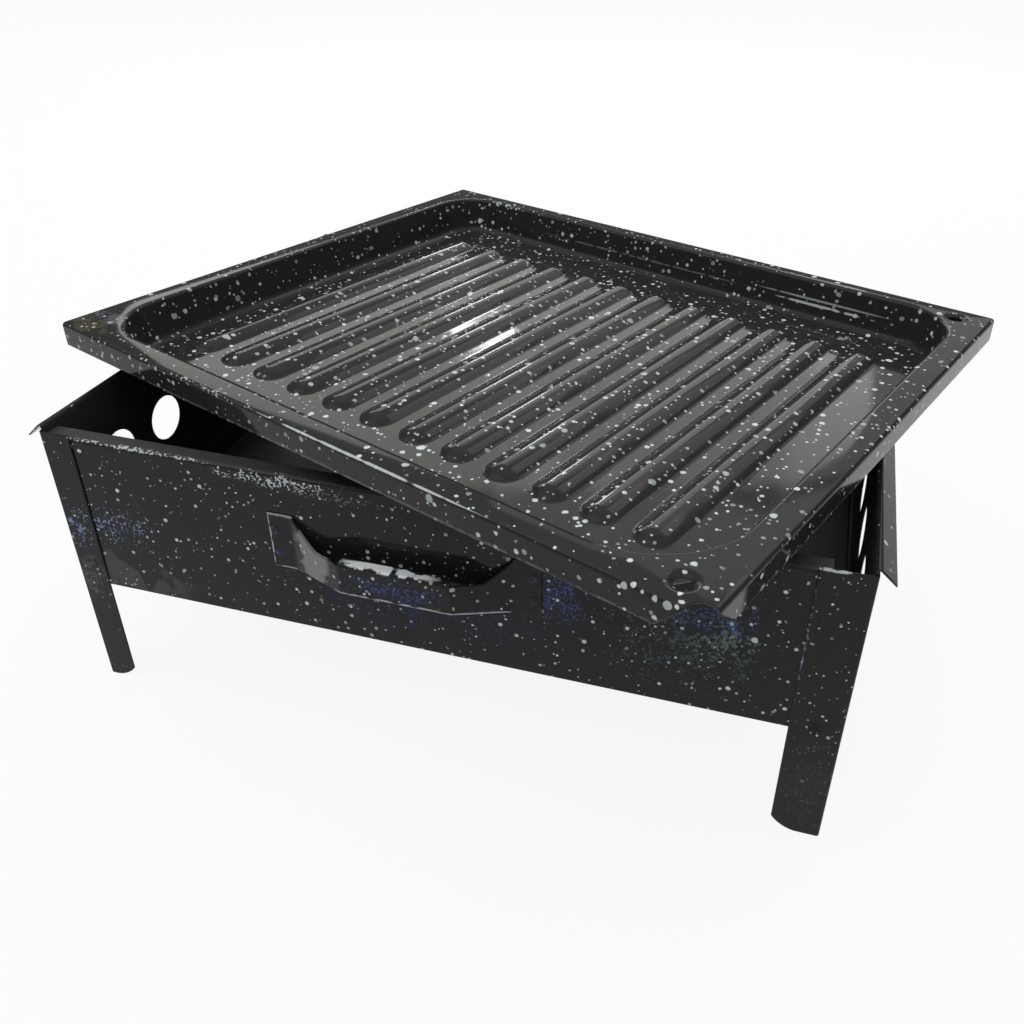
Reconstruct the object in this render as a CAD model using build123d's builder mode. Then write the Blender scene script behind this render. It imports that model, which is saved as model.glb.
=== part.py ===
from build123d import *
import math
import os

os.makedirs("parts", exist_ok=True)

# Tabletop brazier grill in enamelled sheet steel.
# An open firebox stands on four corner legs, and a loose ribbed griddle tray lies askew on top of it.
# Millimetres, Z up, floor at Z 0, the front wall with its handle faces -Y.
# The origin is under the middle of the whole outline, so the firebox stands a little to one side of it.

# Sheet
sheet = 1.0
weld_radius = 2.6
weld_depth = 0.25
weld_pitch = 34.0

# Firebox
box_length = 400.0
box_depth = 306.0
box_top = 163.0
long_wall_drop = 5.0
wall_bottom = 67.5
box_x = -12.0
box_y = 2.9
lip_length = 10.0
lip_angle = 42.0
top_flange = 9.5
flange_bend = 2.0
flange_gap = 16.0

# Air holes in the two end walls
hole_radius = 13.0
hole_pitch = 42.0
hole_count = 6
hole_height = 120.5

# Corner legs
leg_long = 24.0
leg_short = 17.0
leg_side = 15.0
leg_corner = 1.2
foot_length = 12.0
foot_height = 7.5

# Charcoal floor
floor_height = 70.0
floor_flange = 12.0

# Handles
grip_reach = 12.0
grip_length = 56.0
handle_length = 137.0
tab_length = 12.5
strap_sheet = 1.2
strap_bend = 6.0
strap_height = 31.5
strap_bottom = 104.5
grip_height = 17.5
strap_dip = 14.0
weld_inset = 3.5
grip_flange = 6.0
handle_shift = -10.0

# Griddle tray, made to the firebox: how much longer and wider than the box it is
tray_over_length = 1.0
tray_over_width = 22.0
tray_turn = -21.0
tray_x = 0.0
tray_y = -1.6
rim_side = 14.5
rim_front = 13.0
rim_back = 12.0
rim_corner = 2.5
skirt_height = 13.0
fold_radius = 2.0
well_depth = 22.0
well_corner = 34.0
well_corner_front_right = 48.0
well_corner_back_left = 28.0
well_taper = 16.0
floor_blend = 6.0
rim_blend = 2.5
rib_count = 12
rib_pitch = 27.2
rib_width = 19.0
rib_height = 3.5
rib_length = 234.0
rib_shift_x = -5.0
rib_shift_y = 1.5
pad_hole_radius = 3.5
pad_dish_radius = 7.5
pad_dish_depth = 1.8
pad_hole_side = 18.5
pad_hole_front = 13.0
notch_front = 11.0
notch_side = 7.5
skirt_cut_front = 22.0
skirt_cut_side = 20.0

# Everything below follows from the values above
half_length = box_length / 2
half_depth = box_depth / 2
end_face = half_length - sheet
side_face = half_depth - sheet
end_inner = end_face - sheet
side_inner = side_face - sheet
leg_top = box_top - 3 * sheet
wall_top = box_top - long_wall_drop
wall_height = box_top - wall_bottom
lip_reach = lip_length * math.cos(math.radians(lip_angle))
lip_drop = lip_length * math.sin(math.radians(lip_angle))
lip_back = sheet * math.sin(math.radians(lip_angle))
lip_under = sheet * math.cos(math.radians(lip_angle))
box_centre = Plane(origin=(box_x, box_y, 0))

tray_length = box_length + tray_over_length
tray_width = box_depth + tray_over_width
tray_base = box_top
tray_floor = tray_base + sheet
rim_top = tray_floor + well_depth
well_length = tray_length - 2 * rim_side
well_width = tray_width - rim_front - rim_back
well_shift = (rim_front - rim_back) / 2
turn = math.radians(tray_turn)
tray_right = (math.cos(turn), math.sin(turn), 0)
tray_back = (-math.sin(turn), math.cos(turn), 0)
tray_front = (math.sin(turn), -math.cos(turn), 0)


def tray_plane(height):
    """Level plane at the tray's middle, turned with the tray."""
    return Plane(origin=(tray_x, tray_y, height), x_dir=tray_right, z_dir=(0, 0, 1))


# Front wall: a plate between the end walls, a little lower than they are, its top folded inwards
with BuildPart() as front_wall:
    with BuildSketch(Plane.YZ.offset(box_x)) as front_section:
        with BuildLine() as front_outline:
            Polyline(
                (box_y - side_face, wall_bottom),
                (box_y - side_face, wall_top),
                (box_y - side_face + top_flange, wall_top),
                (box_y - side_face + top_flange, wall_top - sheet),
                (box_y - side_inner, wall_top - sheet),
                (box_y - side_inner, wall_bottom),
                close=True,
            )
        make_face()
        bend = front_section.vertices().group_by(Axis.Y)[-1].sort_by(Axis.X)[0]
        fillet(bend, flange_bend)
        inner_bend = front_section.vertices().filter_by(
            lambda v: abs(v.X - box_y + side_inner) < 0.01 and abs(v.Y - wall_top + sheet) < 0.01
        )
        fillet(inner_bend, flange_bend - sheet)
    extrude(amount=end_inner, both=True)
    # The flange stops short of the wall's right end
    with BuildSketch(Plane.XY.offset(wall_top + sheet)) as flange_end:
        with Locations((box_x + end_inner - flange_gap, box_y - side_inner)):
            Rectangle(flange_gap + 1, top_flange + 1, align=(Align.MIN, Align.MIN))
    extrude(amount=-3 * sheet, mode=Mode.SUBTRACT)

# Back wall: the same piece, turned half a turn
with BuildPart() as back_wall:
    with Locations(Location((2 * box_x, 2 * box_y, 0), (0, 0, 180))):
        add(front_wall.part)

# End walls: full depth, six round air holes, top edge folded outwards and down as a lip
with BuildPart() as right_end_wall:
    with BuildSketch(Plane.XZ.offset(-box_y)) as end_section:
        with BuildLine():
            Polyline(
                (box_x + end_inner, wall_bottom),
                (box_x + end_inner, box_top),
                (box_x + end_face, box_top),
                (box_x + end_face + lip_reach, box_top - lip_drop),
                (box_x + end_face + lip_reach - lip_back, box_top - lip_drop - lip_under),
                (box_x + end_face, box_top - sheet / math.cos(math.radians(lip_angle))),
                (box_x + end_face, wall_bottom),
                close=True,
            )
        make_face()
    extrude(amount=side_face, both=True)
    with BuildSketch(Plane.YZ.offset(box_x + end_face)) as air_holes:
        with Locations((box_y, hole_height)):
            with GridLocations(hole_pitch, 1, hole_count, 1):
                Circle(hole_radius)
    extrude(amount=2 * sheet, both=True, mode=Mode.SUBTRACT)

with BuildPart() as left_end_wall:
    mirror(right_end_wall.part, about=Plane.YZ.offset(box_x))

# Charcoal floor: a shallow pan welded inside the walls by its four turned-up flanges
with BuildPart() as firebox_floor:
    with BuildSketch(box_centre.offset(floor_height)):
        Rectangle(2 * end_inner, 2 * side_inner)
    extrude(amount=sheet)
    with BuildSketch(box_centre.offset(floor_height)):
        with Locations((0, side_inner - sheet / 2), (0, sheet / 2 - side_inner)):
            Rectangle(2 * (end_inner - floor_flange / 2), sheet)
        with Locations((end_inner - sheet / 2, 0), (sheet / 2 - end_inner, 0)):
            Rectangle(sheet, 2 * (side_inner - floor_flange / 2))
    extrude(amount=floor_flange)


def corner_leg(flange):
    """An angle of sheet with its corner at the origin and a flange this wide along the front."""
    with BuildPart() as leg:
        with BuildSketch():
            with BuildLine():
                Polyline(
                    (0, 0),
                    (flange, 0),
                    (flange, sheet),
                    (sheet, sheet),
                    (sheet, leg_side),
                    (0, leg_side),
                    close=True,
                )
            make_face()
        extrude(amount=leg_top)
        fillet(leg.edges().filter_by(Axis.Z).sort_by_distance((0, 0, leg_top / 2))[0], leg_corner)
        # The free lower corner of each flange is cut away along a flat arc
        for plane, width in ((Plane.XZ, flange), (Plane.YZ, leg_side)):
            with BuildSketch(plane):
                with BuildLine():
                    Line((width - foot_length, 0), (width, 0))
                    Line((width, 0), (width, foot_height))
                    RadiusArc((width, foot_height), (width - foot_length, 0), 1.5 * foot_length)
                make_face()
            extrude(amount=2 * sheet, both=True, mode=Mode.SUBTRACT)
            # Shallow spot weld marks where the flange holds the wall
            with BuildSketch(plane):
                with Locations((width * 0.6, wall_bottom + wall_height / 2)):
                    with GridLocations(1, weld_pitch, 1, 3):
                        Circle(weld_radius)
            extrude(amount=weld_depth, both=True, mode=Mode.SUBTRACT)
    return leg.part


# Front legs lap over the corners of the walls: a narrow one on the left, a wide one on the right
with BuildPart() as front_left_leg:
    with Locations((box_x - half_length, box_y - half_depth, 0)):
        add(corner_leg(leg_short))

with BuildPart() as front_right_leg:
    with Locations((box_x + half_length, box_y - half_depth, 0)):
        add(mirror(corner_leg(leg_long), about=Plane.YZ, mode=Mode.PRIVATE))

# Back legs: the same two, turned half a turn
with BuildPart() as back_right_leg:
    with Locations(Location((2 * box_x, 2 * box_y, 0), (0, 0, 180))):
        add(front_left_leg.part)

with BuildPart() as back_left_leg:
    with Locations(Location((2 * box_x, 2 * box_y, 0), (0, 0, 180))):
        add(front_right_leg.part)

# Front handle: a strap bent out from the wall, its tabs spot welded, its grip lower and folded back
strap_top = strap_bottom + strap_height
grip_top = strap_bottom + grip_height
handle_x = box_x + handle_shift
wall_face = box_y - side_face
half_grip = grip_length / 2
half_handle = handle_length / 2
tab_fold = half_handle - tab_length
with BuildPart() as front_handle:
    with BuildSketch(Plane.XY.offset(strap_bottom)) as strap_plan:
        with BuildLine() as strap_line:
            FilletPolyline(
                (handle_x - half_handle, wall_face - strap_sheet / 2),
                (handle_x - tab_fold, wall_face - strap_sheet / 2),
                (handle_x - half_grip, wall_face - grip_reach + strap_sheet / 2),
                (handle_x + half_grip, wall_face - grip_reach + strap_sheet / 2),
                (handle_x + tab_fold, wall_face - strap_sheet / 2),
                (handle_x + half_handle, wall_face - strap_sheet / 2),
                radius=strap_bend,
            )
            offset(amount=strap_sheet / 2, side=Side.BOTH)
        make_face()
    extrude(amount=strap_height)
    # The top edge drops steeply from the tabs to the lower grip
    with BuildSketch(Plane.XZ.offset(-wall_face)) as dip:
        with BuildLine():
            Polyline(
                (handle_x - tab_fold, strap_top + 1),
                (handle_x - tab_fold, strap_top),
                (handle_x - tab_fold + strap_dip, grip_top),
                (handle_x + tab_fold - strap_dip, grip_top),
                (handle_x + tab_fold, strap_top),
                (handle_x + tab_fold, strap_top + 1),
                close=True,
            )
        make_face()
    extrude(amount=2 * grip_reach, both=True, mode=Mode.SUBTRACT)
    # The grip's top edge is folded back towards the wall
    with BuildSketch(Plane.YZ.offset(handle_x)):
        with Locations((wall_face - grip_reach + grip_flange / 2, grip_top - strap_sheet / 2)):
            Rectangle(grip_flange, strap_sheet)
    extrude(amount=half_grip - strap_bend / 2, both=True)
    # Two spot weld marks on each tab
    with BuildSketch(Plane.XZ.offset(strap_sheet - wall_face)):
        with Locations((handle_x, strap_bottom + strap_height / 2)):
            with GridLocations(handle_length - 2 * weld_inset, strap_height * 0.4, 2, 2):
                Circle(weld_radius)
    extrude(amount=weld_depth, both=True, mode=Mode.SUBTRACT)

# Back handle: the same strap on the back wall, turned half a turn
with BuildPart() as back_handle:
    with Locations(Location((2 * box_x, 2 * box_y, 0), (0, 0, 180))):
        add(front_handle.part)

# Rib forms, made once at the origin: a long low bulge with domed ends, and the hollow under it
arc_radius = (rib_width**2 / 4 + rib_height**2) / (2 * rib_height)
arc_centre = rib_height - arc_radius
bar_length = rib_length - rib_width
with BuildPart() as rib_form:
    with BuildSketch(Plane.XZ):
        with Locations((0, arc_centre)):
            Circle(arc_radius)
        with Locations((0, -sheet / 2)):
            Rectangle(4 * arc_radius, 4 * arc_radius, align=(Align.CENTER, Align.MAX), mode=Mode.SUBTRACT)
    extrude(amount=bar_length / 2, both=True)
    with Locations((0, bar_length / 2, arc_centre), (0, -bar_length / 2, arc_centre)):
        Sphere(arc_radius)
    split(bisect_by=Plane.XY.offset(-sheet / 2), keep=Keep.TOP)

with BuildPart() as rib_hollow:
    with BuildSketch(Plane.XZ):
        with Locations((0, arc_centre)):
            Circle(arc_radius - sheet)
        with Locations((0, -2 * sheet)):
            Rectangle(4 * arc_radius, 4 * arc_radius, align=(Align.CENTER, Align.MAX), mode=Mode.SUBTRACT)
    extrude(amount=bar_length / 2, both=True)
    with Locations((0, bar_length / 2, arc_centre), (0, -bar_length / 2, arc_centre)):
        Sphere(arc_radius - sheet)
    split(bisect_by=Plane.XY.offset(-2 * sheet), keep=Keep.TOP)

def well_mouth_outline(grow):
    """The well's mouth, grown outwards: its front right corner is the widest, its back left the tightest."""
    half_x = well_length / 2 + grow
    half_y = well_width / 2 + grow
    with BuildSketch() as outline:
        Rectangle(2 * half_x, 2 * half_y)
        front_right = outline.vertices().filter_by(lambda v: v.X > half_x - 0.01 and v.Y < 0.01 - half_y)
        fillet(front_right, well_corner_front_right + grow)
        back_left = outline.vertices().filter_by(lambda v: v.X < 0.01 - half_x and v.Y > half_y - 0.01)
        fillet(back_left, well_corner_back_left + grow)
        others = outline.vertices().filter_by(lambda v: abs(v.X) > half_x - 0.01 and abs(v.Y) > half_y - 0.01)
        fillet(others, well_corner + grow)
    return outline.sketch


# The well's skin and the space inside it, both drawn down from the level of the rim
with BuildPart() as well_skin:
    with BuildSketch():
        add(well_mouth_outline(sheet))
    extrude(amount=-well_depth - sheet, taper=well_taper)
    fillet(well_skin.faces().sort_by(Axis.Z)[0].edges(), floor_blend + sheet)

with BuildPart() as well_space:
    with BuildSketch():
        add(well_mouth_outline(0))
    extrude(amount=-well_depth, taper=well_taper)
    fillet(well_space.faces().sort_by(Axis.Z)[0].edges(), floor_blend)

# A dished hole of the rim's two right corner pads, made once
with BuildPart() as pad_dish:
    with BuildSketch(Plane.XZ):
        with BuildLine():
            Polyline(
                (pad_hole_radius, -pad_dish_depth),
                (pad_dish_radius, 0),
                (pad_dish_radius, -sheet),
                (pad_hole_radius, -pad_dish_depth - sheet),
                close=True,
            )
        make_face()
    revolve(axis=Axis.Z)

# Griddle tray, drawn in its own frame that is turned as it lies in the photo
with BuildPart() as griddle_tray:
    with BuildSketch(tray_plane(rim_top)):
        RectangleRounded(tray_length, tray_width, rim_corner)
    extrude(amount=-skirt_height)
    fillet(griddle_tray.faces().sort_by(Axis.Z)[-1].edges(), fold_radius)
    with BuildSketch(tray_plane(rim_top - sheet)):
        RectangleRounded(tray_length - 2 * sheet, tray_width - 2 * sheet, rim_corner - sheet)
    extrude(amount=-skirt_height, mode=Mode.SUBTRACT)
    # The pressed well: its skin is added, then the space inside it is cut out
    with Locations(tray_plane(rim_top)):
        with Locations((0, well_shift)):
            add(well_skin.part)
            add(well_space.part, mode=Mode.SUBTRACT)
    well_mouth = griddle_tray.edges().filter_by(
        lambda e: abs(e.center().Z - rim_top) < 0.01 and e.bounding_box().size.Z < 0.01
    )
    fillet(well_mouth.sort_by_distance((tray_x, tray_y, rim_top))[0:8], rim_blend)
    # Twelve pressed ribs, hollow underneath
    with Locations(tray_plane(tray_floor)):
        with Locations((rib_shift_x, rib_shift_y)):
            with GridLocations(rib_pitch, 1, rib_count, 1):
                add(rib_form.part)
                add(rib_hollow.part, mode=Mode.SUBTRACT)
    # Dished holes in the rim's two right corner pads
    with BuildSketch(tray_plane(rim_top)):
        with Locations((tray_length / 2 - pad_hole_side, 0)):
            with GridLocations(1, tray_width - 2 * pad_hole_front, 1, 2):
                Circle(pad_dish_radius)
    extrude(amount=-sheet, mode=Mode.SUBTRACT)
    with Locations(tray_plane(rim_top)):
        with Locations((tray_length / 2 - pad_hole_side, 0)):
            with GridLocations(1, tray_width - 2 * pad_hole_front, 1, 2):
                add(pad_dish.part)
    # The front right corner is notched: the rim's corner is cut and both skirts stop short of it
    with BuildSketch(tray_plane(rim_top + sheet)):
        with BuildLine():
            Polyline(
                (tray_length / 2 - notch_front, -tray_width / 2 - 1),
                (tray_length / 2 - notch_front, -tray_width / 2 + sheet),
                (tray_length / 2 - notch_side, notch_side * 0.8 - tray_width / 2),
                (tray_length / 2 - notch_side * 0.6, notch_side - tray_width / 2),
                (tray_length / 2 + 1, notch_side - tray_width / 2),
                (tray_length / 2 + 1, -tray_width / 2 - 1),
                close=True,
            )
        make_face()
    extrude(amount=-2 * skirt_height, mode=Mode.SUBTRACT)
    skirt_middle = tray_plane(rim_top).from_local_coords((0, -tray_width / 2, 0))
    front_skirt = Plane(origin=skirt_middle, x_dir=tray_right, z_dir=tray_front)
    with BuildSketch(front_skirt):
        with BuildLine():
            Polyline(
                (tray_length / 2 - notch_front, -fold_radius),
                (tray_length / 2 - notch_front, -skirt_height - 1),
                (tray_length / 2 - skirt_cut_front, -skirt_height - 1),
                close=True,
            )
        make_face()
    extrude(amount=fold_radius + sheet, both=True, mode=Mode.SUBTRACT)
    skirt_end = tray_plane(rim_top).from_local_coords((tray_length / 2, 0, 0))
    right_skirt = Plane(origin=skirt_end, x_dir=tray_back, z_dir=tray_right)
    with BuildSketch(right_skirt):
        with BuildLine():
            Polyline(
                (notch_side - tray_width / 2, -fold_radius),
                (notch_side - tray_width / 2, -skirt_height - 1),
                (skirt_cut_side - tray_width / 2, -skirt_height - 1),
                close=True,
            )
        make_face()
    extrude(amount=fold_radius + sheet, both=True, mode=Mode.SUBTRACT)

parts = {
    "front_wall": front_wall,
    "back_wall": back_wall,
    "left_end_wall": left_end_wall,
    "right_end_wall": right_end_wall,
    "firebox_floor": firebox_floor,
    "front_left_leg": front_left_leg,
    "front_right_leg": front_right_leg,
    "back_right_leg": back_right_leg,
    "back_left_leg": back_left_leg,
    "front_handle": front_handle,
    "back_handle": back_handle,
    "griddle_tray": griddle_tray,
}
for name, piece in parts.items():
    piece.part.label = name
    export_step(piece.part, f"parts/{name}.step")
    print(name, len(piece.part.solids()), round(piece.part.volume), piece.part.is_valid)
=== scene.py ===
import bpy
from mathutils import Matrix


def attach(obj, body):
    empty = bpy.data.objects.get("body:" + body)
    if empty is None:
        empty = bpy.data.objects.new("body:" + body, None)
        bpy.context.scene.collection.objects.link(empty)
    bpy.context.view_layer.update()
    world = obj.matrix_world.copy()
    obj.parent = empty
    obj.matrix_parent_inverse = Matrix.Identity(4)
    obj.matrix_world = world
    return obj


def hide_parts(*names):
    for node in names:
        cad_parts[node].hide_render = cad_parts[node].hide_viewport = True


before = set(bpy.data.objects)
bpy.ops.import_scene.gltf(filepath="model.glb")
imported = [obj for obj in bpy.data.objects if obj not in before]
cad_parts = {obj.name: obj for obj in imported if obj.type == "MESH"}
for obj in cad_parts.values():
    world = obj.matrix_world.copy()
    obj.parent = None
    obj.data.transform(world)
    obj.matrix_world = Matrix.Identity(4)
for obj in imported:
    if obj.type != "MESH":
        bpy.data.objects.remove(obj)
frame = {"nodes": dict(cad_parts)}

"""Tabletop brazier grill in speckled enamel sheet steel, dressed and set in a plain studio."""

import logging
import math
from dataclasses import dataclass
from enum import Enum
from typing import Any, Callable, Iterable, Sequence

import bpy
import numpy as np
from mathutils import Matrix, Vector
from mathutils.geometry import delaunay_2d_cdt

Pair = tuple[float, float]
Triple = tuple[float, float, float]
Mark = tuple[Triple, Triple]

LOG = logging.getLogger("brazier")
MM = 0.001
QUARTER = math.pi / 2
UP = np.array((0.0, 0.0, 1.0))
WHITE = (1.0, 1.0, 1.0, 1.0)
BOX_MIDDLE: Pair = (-12.0, 2.9)
CENTRE = Matrix.Translation((*BOX_MIDDLE, 0.0))
HALF_TURN = Matrix.Rotation(math.pi, 4, "Z")
TOUCH = 0.01
MERGED_PER_MM = 500
LEAST_MITRE = 0.6


class Body(str, Enum):
    """The two rigid bodies of the object."""

    FIREBOX = "firebox"
    GRIDDLE = "griddle"


class Slot(str, Enum):
    """Material slots of the record."""

    FIREBOX = "firebox_enamel"
    LEG = "leg_enamel"
    HANDLE = "handle_enamel"
    TRAY = "tray_enamel"


# Node graphs


def operator(operation: str) -> Callable[..., "Value"]:
    """A method of Value that adds the Math node of one operation.

    Args:
        operation: the Math node's operation.

    Returns:
        The method.
    """

    def method(self: "Value", *others: "Value | float") -> "Value":
        """Applies the operation to this value and the others."""
        return self.math(operation, *others)

    return method


class Value:
    """A number socket that turns Python arithmetic into Math nodes."""

    def __init__(self, graph: "Graph", socket: bpy.types.NodeSocket) -> None:
        """Wraps a socket of a graph."""
        self.graph = graph
        self.socket = socket

    def math(self, operation: str, *others: "Value | float") -> "Value":
        """Adds one Math node.

        Args:
            operation: the Math node's operation.
            others: the values of its further inputs.

        Returns:
            The node's result.
        """
        node = self.graph.tree.nodes.new("ShaderNodeMath")
        node.operation = operation
        for place, value in zip(node.inputs, (self, *others)):
            self.graph.feed(place, value)
        return Value(self.graph, node.outputs[0])

    __add__ = __radd__ = operator("ADD")
    __sub__ = operator("SUBTRACT")
    __mul__ = __rmul__ = operator("MULTIPLY")
    __truediv__ = operator("DIVIDE")
    __lt__ = operator("LESS_THAN")
    __abs__ = operator("ABSOLUTE")
    root = operator("SQRT")
    upto = operator("MINIMUM")
    atleast = operator("MAXIMUM")

    def __rsub__(self, other: float) -> "Value":
        """Difference from a number on the left."""
        return self * -1.0 + other

    def clamped(self) -> "Value":
        """Kept between zero and one."""
        return self.atleast(0.0).upto(1.0)


class Graph:
    """One node tree and the single way in which its nodes are added."""

    def __init__(self, tree: bpy.types.NodeTree) -> None:
        """Keeps the tree."""
        self.tree = tree

    @staticmethod
    def of(block: bpy.types.ID) -> "Graph":
        """The emptied node tree of a material or a world.

        Args:
            block: the material or world.

        Returns:
            Its graph.
        """
        block.use_nodes = True
        block.node_tree.nodes.clear()
        return Graph(block.node_tree)

    def feed(self, socket: bpy.types.NodeSocket, value: Any) -> None:
        """Links a value, a socket or a node's first output to a socket, or sets its number.

        Args:
            socket: the input.
            value: what it gets.
        """
        if isinstance(value, Value):
            value = value.socket
        if isinstance(value, bpy.types.Node):
            value = value.outputs[0]
        if isinstance(value, bpy.types.NodeSocket):
            self.tree.links.new(value, socket)
        else:
            socket.default_value = value

    def node(
        self, kind: str, settings: dict[str, Any] | None = None, **inputs: Any
    ) -> bpy.types.Node:
        """Adds a node.

        Args:
            kind: the node's type.
            settings: its properties.
            inputs: values or links by socket name, with _ for a blank, or by s and its number.

        Returns:
            The node.
        """
        node = self.tree.nodes.new(kind)
        for name, value in (settings or {}).items():
            setattr(node, name, value)
        for name, value in inputs.items():
            number = name[1:]
            key = int(number) if number.isdigit() else name.replace("_", " ")
            self.feed(node.inputs[key], value)
        return node

    def out(self, node: bpy.types.Node, name: str | int = 0) -> Value:
        """A node's output as a value."""
        return Value(self, node.outputs[name])

    def axes(self, vector: Any) -> tuple[Value, Value, Value]:
        """The three numbers of a vector."""
        split = self.node("ShaderNodeSeparateXYZ", s0=vector)
        return self.out(split, 0), self.out(split, 1), self.out(split, 2)

    def noise(self, place: Any, size: float, detail: float) -> Value:
        """Noise between zero and one whose lumps have about the given size in millimetres."""
        lumps = {"Vector": place, "Scale": 1.0 / size, "Detail": detail, "Roughness": 0.5}
        return self.out(self.node("ShaderNodeTexNoise", **lumps))

    def mixed(self, share: Any, first: Any, second: Any) -> bpy.types.NodeSocket:
        """A blend of two colours, given as links or as three numbers.

        Args:
            share: weight of the second.
            first: the one colour.
            second: the other.

        Returns:
            The blend.
        """
        pair = [(*c, 1.0) if isinstance(c, tuple) else c for c in (first, second)]
        mix = self.node("ShaderNodeMix", {"data_type": "RGBA"}, s0=share, s6=pair[0], s7=pair[1])
        return mix.outputs[2]


# Finishes


@dataclass(frozen=True)
class Specks:
    """One size of white enamel specks, in millimetres.

    Attributes:
        cell: mean spacing.
        radius: radius of the largest.
        share: share of the cells that hold one.
        ragged: how far an outline wanders.
        shift: where the pattern starts, so that two layers differ.
    """

    cell: float
    radius: float
    share: float
    ragged: float
    shift: float


@dataclass(frozen=True)
class Tint:
    """A mottled patch of colour. Most patches are painted highlights and painted reflections; a
    few are the enamel's own colour.

    Attributes:
        centre: its middle in millimetres.
        reach: its half width, half depth and half height.
        colour: the painted colour.
        share: how much of the patch takes it, from 0 to 1.
        grain: size of the mottling in millimetres.
        cover: how closed it is, from 0 for scattered dots to 1 for a whole patch.
    """

    centre: Triple
    reach: Triple
    colour: Triple
    share: float
    grain: float = 1.2
    cover: float = 0.25

    # How the mottling's two sizes add up, and how steeply a dot and the patch's border fade
    FINE = 2.2
    COARSE = 6
    THRESHOLD = 2.15
    DOT_EDGE = 5.0
    PATCH_EDGE = 4.0

    def amount(self, graph: Graph, place: Any, axes: tuple[Value, Value, Value]) -> Value:
        """How much of the colour shows: most in the middle, broken up by mottling.

        Args:
            graph: the material's graph.
            place: the point in millimetres.
            axes: the point in the tints' own frame.

        Returns:
            A share from zero to one.
        """
        off = [(axis - mid) / reach for axis, mid, reach in zip(axes, self.centre, self.reach)]
        near = 1.0 - (off[0] * off[0] + off[1] * off[1] + off[2] * off[2]).root()
        fine = graph.noise(place, self.grain, 1.0) * self.FINE
        mottle = fine + graph.noise(place, self.grain * self.COARSE, 1.0)
        level = near.clamped() * 0.5 + mottle + (self.cover * 0.6 - self.THRESHOLD)
        dots = (level * self.DOT_EDGE).clamped()
        return dots * (near * self.PATCH_EDGE).clamped() * self.share


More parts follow.
